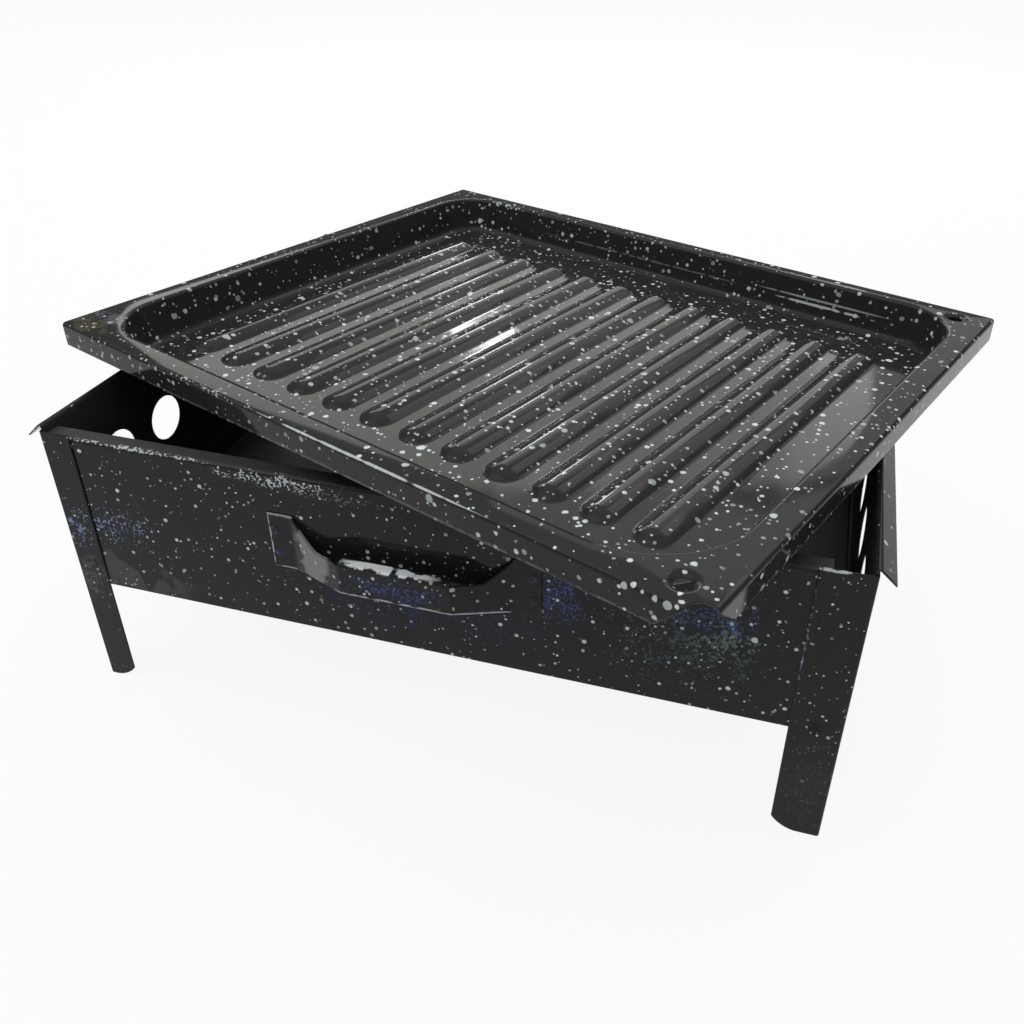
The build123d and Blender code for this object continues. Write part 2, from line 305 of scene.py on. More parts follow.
@dataclass(frozen=True)
class Enamel:
    """Vitreous enamel: a black glassy ground with white specks fired into it.

    Attributes:
        name: the material's name.
        ground: colour of the ground.
        specks: the sizes of specks.
        roughness: mean roughness of the glass.
        peel: height of the fine orange peel in millimetres.
        swell: height of the slow waves in millimetres.
        dull_below: height under which the enamel is dull and grey, or none.
        plain_inside: whether the inside of the firebox is dull and without specks, and lightened
            as painted fill light.
        speck_colour: colour of the specks.
        tints: mottled patches of colour, mostly painted highlights and painted reflections.
        ior: index of the glass.
        middle: where the tints' own frame stands.
        turned: degrees that this frame is turned.
    """

    name: str
    ground: Triple
    specks: tuple[Specks, ...]
    roughness: float = 0.07
    peel: float = 0.0022
    swell: float = 0.06
    dull_below: float | None = None
    plain_inside: bool = False
    speck_colour: Triple = (0.66, 0.72, 0.73)
    tints: tuple[Tint, ...] = ()
    ior: float = 1.23
    middle: Pair = (0.0, 0.0)
    turned: float = 0.0

    # Sizes of the noise in millimetres
    SWELLS = 70.0
    DRIFT = 38.0
    SHADE = 9.0
    RIPPLES = 7.5
    PEEL = 2.4
    # Where the glaze is dull: over a leg's fade, and between walls below a level
    FADE = 14.0
    INSIDE = (198.6, 151.7)
    INSIDE_TOP = 162.2
    # Colours of dull glaze and of the firebox's inside, which is lightened as painted fill light,
    # and how light the ground gets
    DULL = (0.021, 0.022, 0.024)
    INSIDE_PAINTED_FILL = (0.042, 0.042, 0.041)
    LIGHTEST = 1.6
    # How much of the specks dull glaze hides, on a leg and inside, and their own shade and height
    HIDDEN = (0.8, 0.95)
    DARKEST = 0.8
    SPECK_RISE = 0.02
    # What noise, specks and dullness add to the roughness
    ROUGH = (0.06, 0.15, 0.35)
    # How specks wander, where a layer starts, and how their size, number, edge and tone vary
    WANDER = 0.8
    SIDESTEP = 0.7
    UPSTEP = 3.1
    SMALLEST = 0.45
    CROWDED = 1.2
    SPARSE = 0.4
    CRISP = 6.0
    VARIED = 0.7
    FAINTEST = 0.35

    def material(self) -> bpy.types.Material:
        """Builds the material, or returns it if it's there.

        Returns:
            The material.
        """
        made = bpy.data.materials.get(self.name)
        if made:
            return made
        made = bpy.data.materials.new(self.name)
        graph = Graph.of(made)
        place = graph.node("ShaderNodeTexCoord").outputs["Object"]
        place = graph.node("ShaderNodeVectorMath", {"operation": "SCALE"}, s0=place, Scale=1 / MM)
        drift = graph.noise(place, self.DRIFT, 1.0)
        shade = graph.noise(place, self.SHADE, 3.0)
        dull = self._dulled(graph, place, drift)
        mask = self._mask(graph, place, drift) * (1.0 - dull * self.HIDDEN[self.plain_inside])
        ground = self._ground(graph, place, shade, dull)
        shaded = tuple(c * self.DARKEST for c in self.speck_colour)
        bright = graph.mixed(shade, shaded, self.speck_colour)
        height = (
            graph.noise(place, self.PEEL, 1.0) * self.peel
            + graph.noise(place, self.RIPPLES, 1.0) * (self.peel * 3.0)
            + graph.noise(place, self.SWELLS, 1.0) * self.swell
            + mask * self.SPECK_RISE
        )
        bump = graph.node("ShaderNodeBump", Strength=1.0, Distance=MM, Height=height)
        noise, white, worn = self.ROUGH
        glass = graph.node(
            "ShaderNodeBsdfPrincipled",
            Base_Color=graph.mixed(mask, ground, bright),
            Roughness=self.roughness + (shade - 0.5) * noise + mask * white + dull * worn,
            IOR=self.ior,
            Normal=bump,
        )
        graph.node("ShaderNodeOutputMaterial", Surface=glass)
        made.diffuse_color = (*self.ground, 1.0)
        return made

    def _dulled(self, graph: Graph, place: Any, drift: Value) -> Value | float:
        """Where the glaze is dull: low on a leg, or inside the firebox.

        Args:
            graph: the material's graph.
            place: the point in millimetres.
            drift: slow noise.

        Returns:
            One where it is, or zero.
        """
        x, y, z = graph.axes(place)
        if self.dull_below is not None:
            return ((self.dull_below - z) / self.FADE + drift * 1.2 - 0.6).clamped()
        if not self.plain_inside:
            return 0.0
        (mx, my), (wide, deep) = BOX_MIDDLE, self.INSIDE
        return (abs(x - mx) < wide) * (abs(y - my) < deep) * (z < self.INSIDE_TOP)

    def _ground(
        self, graph: Graph, place: Any, shade: Value, dull: Value | float
    ) -> bpy.types.NodeSocket:
        """Colour of the ground with its tints, mostly painted highlights and painted reflections,
        which are placed in their own turned frame.

        Args:
            graph: the material's graph.
            place: the point in millimetres.
            shade: fine noise.
            dull: where the glaze is dull.

        Returns:
            The colour.
        """
        light = tuple(c * self.LIGHTEST for c in self.ground)
        ground = graph.mixed((shade * 0.7).clamped(), self.ground, light)
        # Inside the firebox the ground is lightened as painted fill light
        ground = graph.mixed(dull * 0.9, ground, self.INSIDE_PAINTED_FILL if self.plain_inside else self.DULL)
        framed = graph.node(
            "ShaderNodeVectorRotate",
            {"rotation_type": "Z_AXIS"},
            Vector=place,
            Center=(*self.middle, 0.0),
            Angle=math.radians(-self.turned),
        )
        across, deep, high = graph.axes(framed)
        axes = (across - self.middle[0], deep - self.middle[1], high)
        # Mixes in each tint: mostly painted highlights and painted reflections
        for tint in self.tints:
            ground = graph.mixed(tint.amount(graph, place, axes), ground, tint.colour)
        return ground

    def _mask(self, graph: Graph, place: Any, drift: Value) -> Value:
        """Where the specks are.

        Args:
            graph: the material's graph.
            place: the point in millimetres.
            drift: slow noise that thins and crowds them.

        Returns:
            One inside a speck and zero outside.
        """
        total: Value | None = None
        for layer in self.specks:
            ripple = self.WANDER / layer.radius
            wander = graph.node("ShaderNodeTexNoise", Vector=place, Scale=ripple, Detail=1.0)
            pushed = graph.node(
                "ShaderNodeVectorMath",
                {"operation": "MULTIPLY_ADD"},
                s0=wander.outputs["Color"],
                s1=(layer.ragged,) * 3,
                s2=place,
            )
            shift = (layer.shift, layer.shift * self.SIDESTEP, self.UPSTEP)
            moved = graph.node("ShaderNodeVectorMath", {"operation": "ADD"}, s0=pushed, s1=shift)
            cells = graph.node(
                "ShaderNodeTexVoronoi", {"feature": "F1"}, Vector=moved, Scale=1.0 / layer.cell
            )
            size, chance, tone = graph.axes(cells.outputs["Color"])
            radius = (size * size * (1 - self.SMALLEST) + self.SMALLEST) * layer.radius
            here = chance < (drift * self.CROWDED + self.SPARSE) * layer.share
            within = radius - graph.out(cells, "Distance") * layer.cell
            soft = (within * (self.CRISP / layer.radius)).clamped()
            mask = soft * here * (tone * self.VARIED + self.FAINTEST).clamped()
            total = mask if total is None else total.atleast(mask)
        return total


# Sheet metal


@dataclass
class Skin:
    """One face of a piece of sheet, before it gets its thickness, in millimetres.

    Attributes:
        points: one row for each point.
        normals: the outward normal at each point.
        faces: point numbers of each face, anticlockwise seen from outside.
    """

    points: np.ndarray
    normals: np.ndarray
    faces: list[tuple[int, ...]]

    @staticmethod
    def strip(points: Any, normals: Any, closed: bool = False) -> "Skin":
        """Quads between the rows of a grid of points.

        Args:
            points: rows by columns by three.
            normals: the same shape.
            closed: whether the last column joins the first.

        Returns:
            The skin, turned so that its faces agree with the normals.
        """
        points, normals = np.array(points, float), np.array(normals, float)
        grid = np.arange(points.shape[0] * points.shape[1]).reshape(points.shape[:2])
        ahead = np.roll(grid, -1, axis=1)
        quads = np.stack([grid[:-1], ahead[:-1], ahead[1:], grid[1:]], axis=-1)
        quads = (quads if closed else quads[:, :-1]).reshape(-1, 4)
        faces = [tuple(quad) for quad in quads.tolist()]
        return Skin(points.reshape(-1, 3), normals.reshape(-1, 3), faces).faced()

    @staticmethod
    def folded(rows: Sequence[Triple], stations: Sequence[float], order: list[int]) -> "Skin":
        """Sheet folded along a straight line.

        Args:
            rows: place, height and heading of each row of its profile.
            stations: places along the fold.
            order: which of station, place and height are x, y and z.

        Returns:
            The skin.
        """
        points = np.array([[(s, a, z) for s in stations] for a, z, _ in rows])
        ways = [[(0.0, -math.sin(way), math.cos(way))] * len(stations) for *_, way in rows]
        return Skin.strip(points[..., order], np.array(ways)[..., order])

    @staticmethod
    def fill(outer: np.ndarray, holes: Sequence[np.ndarray], height: float) -> "Skin":
        """A flat level skin between loops.

        Args:
            outer: the outline, rows of x and y.
            holes: outlines of what is left out.
            height: its level.

        Returns:
            The skin, facing up.
        """
        loops = [outer, *holes]
        edges, start = [], 0
        for loop in loops:
            count = len(loop)
            edges += [(start + i, start + (i + 1) % count) for i in range(count)]
            start += count
        flat = [Vector(p) for p in np.concatenate(loops)]
        made = delaunay_2d_cdt(flat, edges, [], 1, 1e-5)
        place = np.array([tuple(v) for v in made[0]])
        faces = []
        for face in made[2]:
            middle = place[list(face)].mean(0)
            if inside(middle, outer) and not any(inside(middle, hole) for hole in holes):
                faces.append(tuple(face))
        return Skin(lifted(place, height), np.tile(UP, (len(place), 1)), faces).faced()

    @staticmethod
    def joined(*skins: "Skin") -> "Skin":
        """Several skins as one, with shared points merged.

        Args:
            skins: the parts.

        Returns:
            The whole.
        """
        points = np.concatenate([s.points for s in skins])
        normals = np.concatenate([s.normals for s in skins])
        keys = np.round(points * MERGED_PER_MM).astype(np.int64)
        _, first, index = np.unique(keys, axis=0, return_index=True, return_inverse=True)
        index = index.ravel()
        total = np.zeros((len(first), 3))
        np.add.at(total, index, normals)
        total /= np.linalg.norm(total, axis=1)[:, None]
        faces, start = [], 0
        for skin in skins:
            for face in skin.faces:
                loop = [int(index[start + p]) for p in face]
                loop = [p for i, p in enumerate(loop) if p != loop[i - 1]]
                if len(loop) > 2:
                    faces.append(tuple(loop))
            start += len(skin.points)
        return Skin(points[first], total, faces)

    def faced(self) -> "Skin":
        """The skin with each face turned to agree with the normals.

        Returns:
            The same skin.
        """
        turned = []
        for face in self.faces:
            a, b, c = self.points[list(face[:3])]
            way = np.cross(b - a, c - a)
            if len(face) > 3:
                way = way + np.cross(c - a, self.points[face[3]] - a)
            agrees = way @ self.normals[list(face)].sum(0) >= 0
            turned.append(face if agrees else face[::-1])
        self.faces = turned
        return self

    def moved(self, matrix: Matrix) -> "Skin":
        """The skin under a rigid motion or a mirror.

        Args:
            matrix: the motion.

        Returns:
            A new skin.
        """
        grid = np.array(matrix)
        turn = grid[:3, :3]
        mirrored = np.linalg.det(turn) < 0
        faces = [face[::-1] if mirrored else face for face in self.faces]
        return Skin(self.points @ turn.T + grid[:3, 3], self.normals @ turn.T, faces)

    def thickened(self, name: str, thickness: float, steps: int = 4) -> bpy.types.Object:
        """Gives the skin its thickness, with edges as round as fired enamel leaves them.

        Args:
            name: the new object's name.
            thickness: the sheet's thickness in millimetres, laid on behind the skin.
            steps: segments round each edge.

        Returns:
            The object, in metres.
        """
        half = thickness / 2
        points, normals = self.points.copy(), self.normals
        edges = {(f[i - 1], f[i]) for f in self.faces for i in range(len(f))}
        border = [(a, b) for a, b in edges if (b, a) not in edges]
        after = dict(border)
        before = {b: a for a, b in border}
        outward, spread = {}, {}
        for v in after:
            first = unit(np.cross(self.points[v] - self.points[before[v]], normals[v]))
            second = unit(np.cross(self.points[after[v]] - self.points[v], normals[v]))
            way = unit(first + second)
            outward[v] = way
            spread[v] = 1 / max(float(way @ first), LEAST_MITRE)
            points[v] = self.points[v] - way * half * spread[v]
        count = len(points)
        ring = {v: i for i, v in enumerate(after)}
        every = [points, points - normals * thickness]
        facing = [normals, -normals]
        for step in range(1, steps):
            c, s = math.cos(math.pi * step / steps), math.sin(math.pi * step / steps)
            middle = np.array([points[v] - normals[v] * half for v in after])
            wide = np.array([c * normals[v] + s * spread[v] * outward[v] for v in after])
            every.append(middle + half * wide)
            facing.append(np.array([c * normals[v] + s * outward[v] for v in after]))
        faces = list(self.faces) + [tuple(count + p for p in f[::-1]) for f in self.faces]

        def at(step: int, v: int) -> int:
            """Number of the point on a step of the edge.

            Args:
                step: the step, 0 on the skin.
                v: the skin's point.

            Returns:
                The number.
            """
            if step == 0:
                return v
            return count + v if step == steps else 2 * count + (step - 1) * len(after) + ring[v]

        for a, b in border:
            for step in range(steps):
                faces.append((at(step, b), at(step, a), at(step + 1, a), at(step + 1, b)))
        return solid(name, np.concatenate(every) * MM, faces, np.concatenate(facing))


def unit(vector: np.ndarray) -> np.ndarray:
    """A vector of length one."""
    return vector / max(float(np.linalg.norm(vector)), 1e-12)


def lifted(flat: Any, height: float) -> np.ndarray:
    """Flat rows with a height as their third number."""
    return np.column_stack([flat, np.full(len(flat), height)])


def between(start: Sequence[float], goal: Sequence[float], shares: Iterable[float]) -> list[Any]:
    """Points of the line from start to goal, at shares of its length."""
    return [tuple(a + (b - a) * t for a, b in zip(start, goal)) for t in shares]


def inside(point: Sequence[float], loop: np.ndarray) -> bool:
    """Whether a flat point lies inside a loop.

    Args:
        point: x and y.
        loop: the outline, rows of x and y.

    Returns:
        The answer.
    """
    x, y = point
    a, b = loop, np.roll(loop, -1, axis=0)
    crosses = (a[:, 1] > y) != (b[:, 1] > y)
    with np.errstate(divide="ignore", invalid="ignore"):
        where = a[:, 0] + (y - a[:, 1]) * (b[:, 0] - a[:, 0]) / (b[:, 1] - a[:, 1])
    return bool(np.count_nonzero(crosses & (x < where)) % 2)


def linked(name: str, data: bpy.types.ID) -> bpy.types.Object:
    """A new object in the scene.

    Args:
        name: its name.
        data: its mesh, lamp or camera.

    Returns:
        The object.
    """
    item = bpy.data.objects.new(name, data)
    bpy.context.scene.collection.objects.link(item)
    return item


def solid(
    name: str, points: np.ndarray, faces: list[tuple[int, ...]], normals: np.ndarray
) -> bpy.types.Object:
    """An object from points in metres, faces and the normals at its points.

    Args:
        name: its name.
        points: rows of x, y and z.
        faces: point numbers of each face.
        normals: the normal at each point.

    Returns:
        The object.
    """
    mesh = bpy.data.meshes.new(name)
    mesh.from_pydata(points.tolist(), [], faces)
    mesh.polygons.foreach_set("use_smooth", np.ones(len(mesh.polygons), dtype=bool))
    mesh.update()
    lengths = np.linalg.norm(normals, axis=1)[:, None]
    mesh.normals_split_custom_set_from_vertices((normals / np.maximum(lengths, 1e-9)).tolist())
    return linked(name, mesh)


def settled(item: bpy.types.Object) -> bpy.types.Object:
    """Replaces an object's mesh by what its modifiers make of it, and drops them.

    Args:
        item: the object.

    Returns:
        The same object.
    """
    bpy.context.view_layer.update()
    graph = bpy.context.evaluated_depsgraph_get()
    mesh = bpy.data.meshes.new_from_object(
        item.evaluated_get(graph), preserve_all_data_layers=True, depsgraph=graph
    )
    item.modifiers.clear()
    item.data = mesh
    mesh.name = item.name
    return item


def dressed(item: bpy.types.Object, finish: Enamel) -> bpy.types.Object:
    """Gives a piece its finish.

    Args:
        item: the piece.
        finish: its enamel.

    Returns:
        The piece.
    """
    item.data.materials.clear()
    item.data.materials.append(finish.material())
    return item


def kept(item: bpy.types.Object, body: Body, slot: Slot, *nodes: str) -> bpy.types.Object:
    """Hands a finished piece to the frame.

    Args:
        item: the piece.
        body: the body that it rides on.
        slot: the record's material slot; not used.
        nodes: the CAD nodes that it stands for.

    Returns:
        The piece.
    """
    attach(item, body.value)
    if nodes:
        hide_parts(*nodes)
    LOG.info("%s: %d faces on %s", item.name, len(item.data.polygons), body.value)
    return item


def bend(start: Pair, way: float, radius: float, turn: float, steps: int) -> list[Triple]:
    """Points of an arc that leaves a straight line smoothly.

    Args:
        start: where the arc begins.
        way: heading there in radians.
        radius: its radius.
        turn: how far it turns, in radians, anticlockwise if positive.
        steps: number of segments.

    Returns:
        Rows of x, y and heading, the start included.
    """
    reach = math.copysign(radius, turn)
    cx = start[0] - reach * math.sin(way)
    cy = start[1] + reach * math.cos(way)
    angles = [way + turn * i / steps for i in range(steps + 1)]
    return [(cx + reach * math.sin(a), cy - reach * math.cos(a), a) for a in angles]


# Geometry node trees


class ShopTree:
    """A geometry node tree with named inputs, ended by Realize Instances and Set Material."""

    def __init__(self, name: str, *labels: str, whole: Sequence[str] = ()) -> None:
        """Opens the tree.

        Args:
            name: its name.
            labels: names of its number inputs.
            whole: those of them that are whole numbers.
        """
        self.tree = bpy.data.node_groups.new(name, "GeometryNodeTree")
        kinds = {label: "Int" if label in whole else "Float" for label in labels}
        for label, kind in {"Geometry": "Geometry", **kinds, "Material": "Material"}.items():
            self._socket(label, "INPUT", kind)
        self._socket("Geometry", "OUTPUT", "Geometry")
        self.graph = Graph(self.tree)
        self.source = self.graph.node("NodeGroupInput")

    def _socket(self, label: str, way: str, kind: str) -> None:
        """Adds a socket to the tree's interface."""
        self.tree.interface.new_socket(name=label, in_out=way, socket_type="NodeSocket" + kind)

    def input(self, label: str) -> Value:
        """A named input as a value."""
        return self.graph.out(self.source, label)

    def close(self, last: bpy.types.Node) -> None:
        """Ends the tree with the geometry of a node.

        Args:
            last: the node.
        """
        real = self.graph.node("GeometryNodeRealizeInstances", Geometry=last)
        paint = self.input("Material")
        made = self.graph.node("GeometryNodeSetMaterial", Geometry=real, Material=paint)
        self.graph.node("NodeGroupOutput", Geometry=made)

    def applied(self, item: bpy.types.Object, **values: Any) -> bpy.types.Object:
        """Runs the tree on an object and keeps the plain mesh.

        Args:
            item: the object.
            values: inputs by name, with _ for a blank.

        Returns:
            The object with its new mesh.
        """
        press = item.modifiers.new(self.tree.name, "NODES")
        press.node_group = self.tree
        sockets = self.tree.interface.items_tree
        names = {s.name: s.identifier for s in sockets if s.in_out == "INPUT"}
        for label, value in values.items():
            press[names[label.replace("_", " ")]] = value
        return settled(item)


def rib_press() -> ShopTree:
    """The tree that presses a row of domed ribs into a level sheet.

    Returns:
        The tree.
    """
    labels = ("Count", "Pitch", "Length", "Crown", "Height", "Foot", "Middle X", "Middle Y")
    shop = ShopTree("Pressed ribs", *labels)
    graph = shop.graph
    x, y, _ = graph.axes(graph.node("GeometryNodeInputPosition"))
    count, pitch, length, crown, height, foot, middle_x, middle_y = map(shop.input, labels)
    last = count - 1.0
    place = (x - middle_x) / pitch + last * 0.5
    nearest = place.math("ROUND").atleast(0.0).upto(last)
    across = (place - nearest) * pitch
    along = (abs(y - middle_y) - length * 0.5).atleast(0.0)
    away = (across * across + along * along).root()
    centre = height - crown
    reach = ((crown + foot) * (crown + foot) - (foot - centre) * (foot - centre)).root()
    joint = reach * crown / (crown + foot)
    top = (crown * crown - away * away).atleast(0.0).root() + centre
    left = (reach - away).atleast(0.0)
    base = foot - (foot * foot - left * left).atleast(0.0).root()
    crowned = away < joint
    lift = crowned * top + (1.0 - crowned) * base
    up = graph.node("ShaderNodeCombineXYZ", Z=lift)
    shop.close(graph.node("GeometryNodeSetPosition", Geometry=shop.source, Offset=up))
    return shop


def hole_punch() -> ShopTree:
    """The tree that draws a plate with a row of round holes.

    Returns:
        The tree.
    """
    labels = ("Width", "Depth", "Count", "Pitch", "Radius", "Row")
    shop = ShopTree("Punched plate", *labels, whole=("Count",))
    graph = shop.graph
    width, depth, count, pitch, radius, row = map(shop.input, labels)
    plate = graph.node("GeometryNodeCurvePrimitiveQuadrilateral", Width=width, Height=depth)
    first = (count - 1.0) * pitch * -0.5
    start = graph.node("ShaderNodeCombineXYZ", X=first, Y=row)
    step = graph.node("ShaderNodeCombineXYZ", X=pitch)
    line = graph.node("GeometryNodeMeshLine", Count=count, Start_Location=start, Offset=step)
    ring = graph.node("GeometryNodeCurvePrimitiveCircle", Resolution=56, Radius=radius)
    rings = graph.node("GeometryNodeInstanceOnPoints", Points=line, Instance=ring)
    whole = graph.node("GeometryNodeJoinGeometry")
    for part in (rings, plate):
        graph.feed(whole.inputs[0], part)
    real = graph.node("GeometryNodeRealizeInstances", Geometry=whole)
    shop.close(graph.node("GeometryNodeFillCurve", Curve=real))
    return shop


def weld_press() -> ShopTree:
    """The tree that sets a shallow spot weld on each point, square to the point's facing.

    Returns:
        The tree.
    """
    shop = ShopTree("Spot welds", "Radius", "Rise")
    graph = shop.graph
    radius, rise = shop.input("Radius"), shop.input("Rise")
    ball = graph.node("GeometryNodeMeshUVSphere", Segments=20, Rings=10, Radius=radius)
    squash = graph.node("ShaderNodeCombineXYZ", X=1.0, Y=1.0, Z=rise / radius)
    flat = graph.node("GeometryNodeTransform", Geometry=ball, Scale=squash)
    smooth = graph.node("GeometryNodeSetShadeSmooth", Geometry=flat)
    vector = {"data_type": "FLOAT_VECTOR"}
    facing = graph.node("GeometryNodeInputNamedAttribute", vector, Name="facing")
    turn = graph.node("FunctionNodeAlignRotationToVector", {"axis": "Z"}, Vector=facing)
    spots = {"Points": shop.source, "Instance": smooth, "Rotation": turn}
    shop.close(graph.node("GeometryNodeInstanceOnPoints", **spots))
    return shop


# Sub-assemblies


def pressed(
    skin: Skin, node: str, ending: str, thickness: float, finish: Enamel, slot: Slot
) -> None:
    """Thickens a skin of the firebox and hands it over in place of its CAD node.

    Args:
        skin: the skin in its place.
        node: the CAD node.
        ending: what the piece's name adds to the node's.
        thickness: the sheet's thickness in millimetres.
        finish: its enamel.
        slot: the record's material slot.
    """
    item = skin.thickened(node + ending, thickness)
    kept(dressed(item, finish), Body.FIREBOX, slot, node)


@dataclass
class Firebox:
    """The open box: four walls of folded sheet and the charcoal floor, in millimetres."""

    finish: Enamel
    sheet: float = 1.0
    half_length: float = 199.0
    half_depth: float = 152.0
    top: float = 163.0
    long_top: float = 158.0
    bottom: float = 67.5
    flange: float = 9.5
    flange_bend: float = 2.0
    flange_gap: float = 16.0
    lip: float = 10.0
    lip_trim: float = 0.6
    lip_angle: float = 42.0
    lip_bend: float = 1.6
    hole_radius: float = 13.0
    hole_pitch: float = 42.0
    hole_row: float = 120.5
    hole_count: int = 6

    def build(self) -> None:
        """Builds and hands over the four walls, and gives the floor's CAD node the finish."""
        walls = (
            (self._long_wall(), "front_wall", "back_wall"),
            (self._end_wall(), "right_end_wall", "left_end_wall"),
        )
        for skin, here, opposite in walls:
            for name, matrix in ((here, CENTRE), (opposite, CENTRE @ HALF_TURN)):
                placed = skin.moved(matrix)
                pressed(placed, name, "_sheet", self.sheet, self.finish, Slot.FIREBOX)
        floor = frame["nodes"]["firebox_floor"]
        dressed(floor, self.finish)

    def _long_wall(self) -> Skin:
        """The front wall's outer face and the flange folded inwards at its top.

        The flange stops short of the right end, where the bare bend carries on.

        Returns:
            The skin.
        """
        face, high = -self.half_depth, self.long_top
        rows = [(face, z, QUARTER) for z in (self.bottom, (self.bottom + high) / 2)]
        rows += bend((face, high - self.flange_bend), QUARTER, self.flange_bend, -QUARTER, 6)
        bare = rows[:-2]
        rows.append((face + self.flange, high, 0.0))
        reach = self.half_length - self.sheet
        gap = reach - self.flange_gap
        full = Skin.folded(rows, np.linspace(-reach, gap, 9), [0, 1, 2])
        return Skin.joined(full, Skin.folded(bare, np.linspace(gap, reach, 3), [0, 1, 2]))

    def _end_wall(self) -> Skin:
        """The right end wall's inner face, the fold over its top and the upper face of its lip.

        Returns:
            The skin.
        """
        start = (self.half_length - self.sheet, self.top - self.lip_bend)
        drop = math.radians(90 + self.lip_angle)
        rows = bend(start, QUARTER, self.lip_bend, -drop, 8)
        x, z, way = rows[-1]
        over = self.lip * math.cos(way) - self.lip_trim
        rows.append((x + over, z + over * math.tan(way), way))
        fold = Skin.folded(rows, (-self.half_depth, self.half_depth), [1, 0, 2])
        return Skin.joined(self._punched(*start), fold)

    def _punched(self, inner: float, top: float) -> Skin:
        """The end wall's flat with its air holes, drawn by the hole punch and stood upright.

        Args:
            inner: where the flat stands along X.
            top: height of its upper edge.

        Returns:
            The skin.
        """
        tall = top - self.bottom
        level = self.bottom + tall / 2
        blank = linked("punched_plate", bpy.data.meshes.new("punched_plate"))
        hole_punch().applied(
            blank,
            Width=2 * self.half_depth * MM,
            Depth=tall * MM,
            Count=self.hole_count,
            Pitch=self.hole_pitch * MM,
            Radius=self.hole_radius * MM,
            Row=(self.hole_row - level) * MM,
            Material=self.finish.material(),
        )
        flat = np.array([tuple(v.co) for v in blank.data.vertices]) / MM
        faces = [tuple(p.vertices) for p in blank.data.polygons]
        bpy.data.objects.remove(blank)
        count = len(flat)
        points = np.column_stack([np.full(count, inner), flat[:, 0], flat[:, 1] + level])
        return Skin(points, np.tile((-1.0, 0.0, 0.0), (count, 1)), faces).faced()


@dataclass
class Legs:
    """Four corner legs, angles of sheet in millimetres.

    The front has a narrow and a wide one, and the back has the same two turned.
    """

    finish: Enamel
    sheet: float = 1.0
    wide: float = 24.0
    narrow: float = 17.0
    side: float = 15.0
    corner: float = 1.4
    foot_length: float = 12.0
    foot_height: float = 7.5
    foot_radius: float = 18.0
    tall: float = 160.0
    half_box: Pair = (200.0, 153.0)
    weld_heights: Triple = (81.2, 115.2, 149.2)
    weld_share: float = 0.6

    def build(self) -> None:
        """Builds and hands over the legs."""
        for name, matrix, width in self._stands():
            skin = self._angle(width).moved(matrix)
            pressed(skin, name, "_sheet", self.sheet, self.finish, Slot.LEG)

    def _stands(self) -> list[tuple[str, Matrix, float]]:
        """Name, place and front flange of each leg.

        Returns:
            Rows of name, place and width.
        """
        left = Matrix.Translation((-self.half_box[0], -self.half_box[1], 0.0))
        right = Matrix.Scale(-1.0, 4, (1.0, 0.0, 0.0)) @ left
        turned = CENTRE @ HALF_TURN
        return [
            ("front_left_leg", CENTRE @ left, self.narrow),
            ("front_right_leg", CENTRE @ right, self.wide),
            ("back_right_leg", turned @ left, self.narrow),
            ("back_left_leg", turned @ right, self.wide),
        ]

    def _angle(self, width: float) -> Skin:
        """The outer faces of one leg, its corner at the origin and its front flange along X.

        Args:
            width: width of its front flange.

        Returns:
            The skin.
        """
        side = [self.side - d for d in self._feathered(self.side - self.corner)]
        front = [width - d for d in self._feathered(width - self.corner)]
        edge = [(0.0, y, -QUARTER) for y in side[:-1]]
        edge += bend((0.0, self.corner), -QUARTER, self.corner, QUARTER, 5)
        edge += [(x, 0.0, 0.0) for x in front[-2::-1]]
        points, normals = [], []
        for x, y, heading in edge:
            gaps = [gap for gap, off in ((self.side - y, x), (width - x, y)) if off < TOUCH]
            foot = self._foot(min(gaps, default=self.foot_length))
            points.append([(x, y, z) for z in np.linspace(foot, self.tall, 8)])
            normals.append([(math.sin(heading), -math.cos(heading), 0.0)] * 8)
        return Skin.strip(points, normals)

    def _foot(self, free: float) -> float:
        """Height of the lower edge: a flat arc cuts its corner away at a flange's free edge.

        Args:
            free: distance from the free edge.

        Returns:
            The height.
        """
        if free >= self.foot_length:
            return 0.0
        span = math.hypot(self.foot_length, self.foot_height)
        rise = math.sqrt(self.foot_radius**2 - span**2 / 4)
        cx = self.foot_length / 2 + rise * self.foot_height / span
        cz = self.foot_height / 2 + rise * self.foot_length / span
        return max(cz - math.sqrt(self.foot_radius**2 - (free - cx) ** 2), 0.0)

    def _feathered(self, width: float) -> list[float]:
        """Distances from a flange's free edge, close together over its cut foot."""
        return [self.foot_length * i / 8 for i in range(9)] + [width]

    def welds(self) -> list[Mark]:
        """Places and directions of the spot welds on the legs' flanges.

        Returns:
            The marks.
        """
        marks = []
        for _, matrix, width in self._stands():
            for z in self.weld_heights:
                front = (width * self.weld_share, 0.0, z), (0, -1, 0)
                side = (0.0, self.side * self.weld_share, z), (-1, 0, 0)
                for spot, way in (front, side):
                    turned = matrix.to_3x3() @ Vector(way)
                    marks.append((tuple(matrix @ Vector(spot)), tuple(turned)))
        return marks


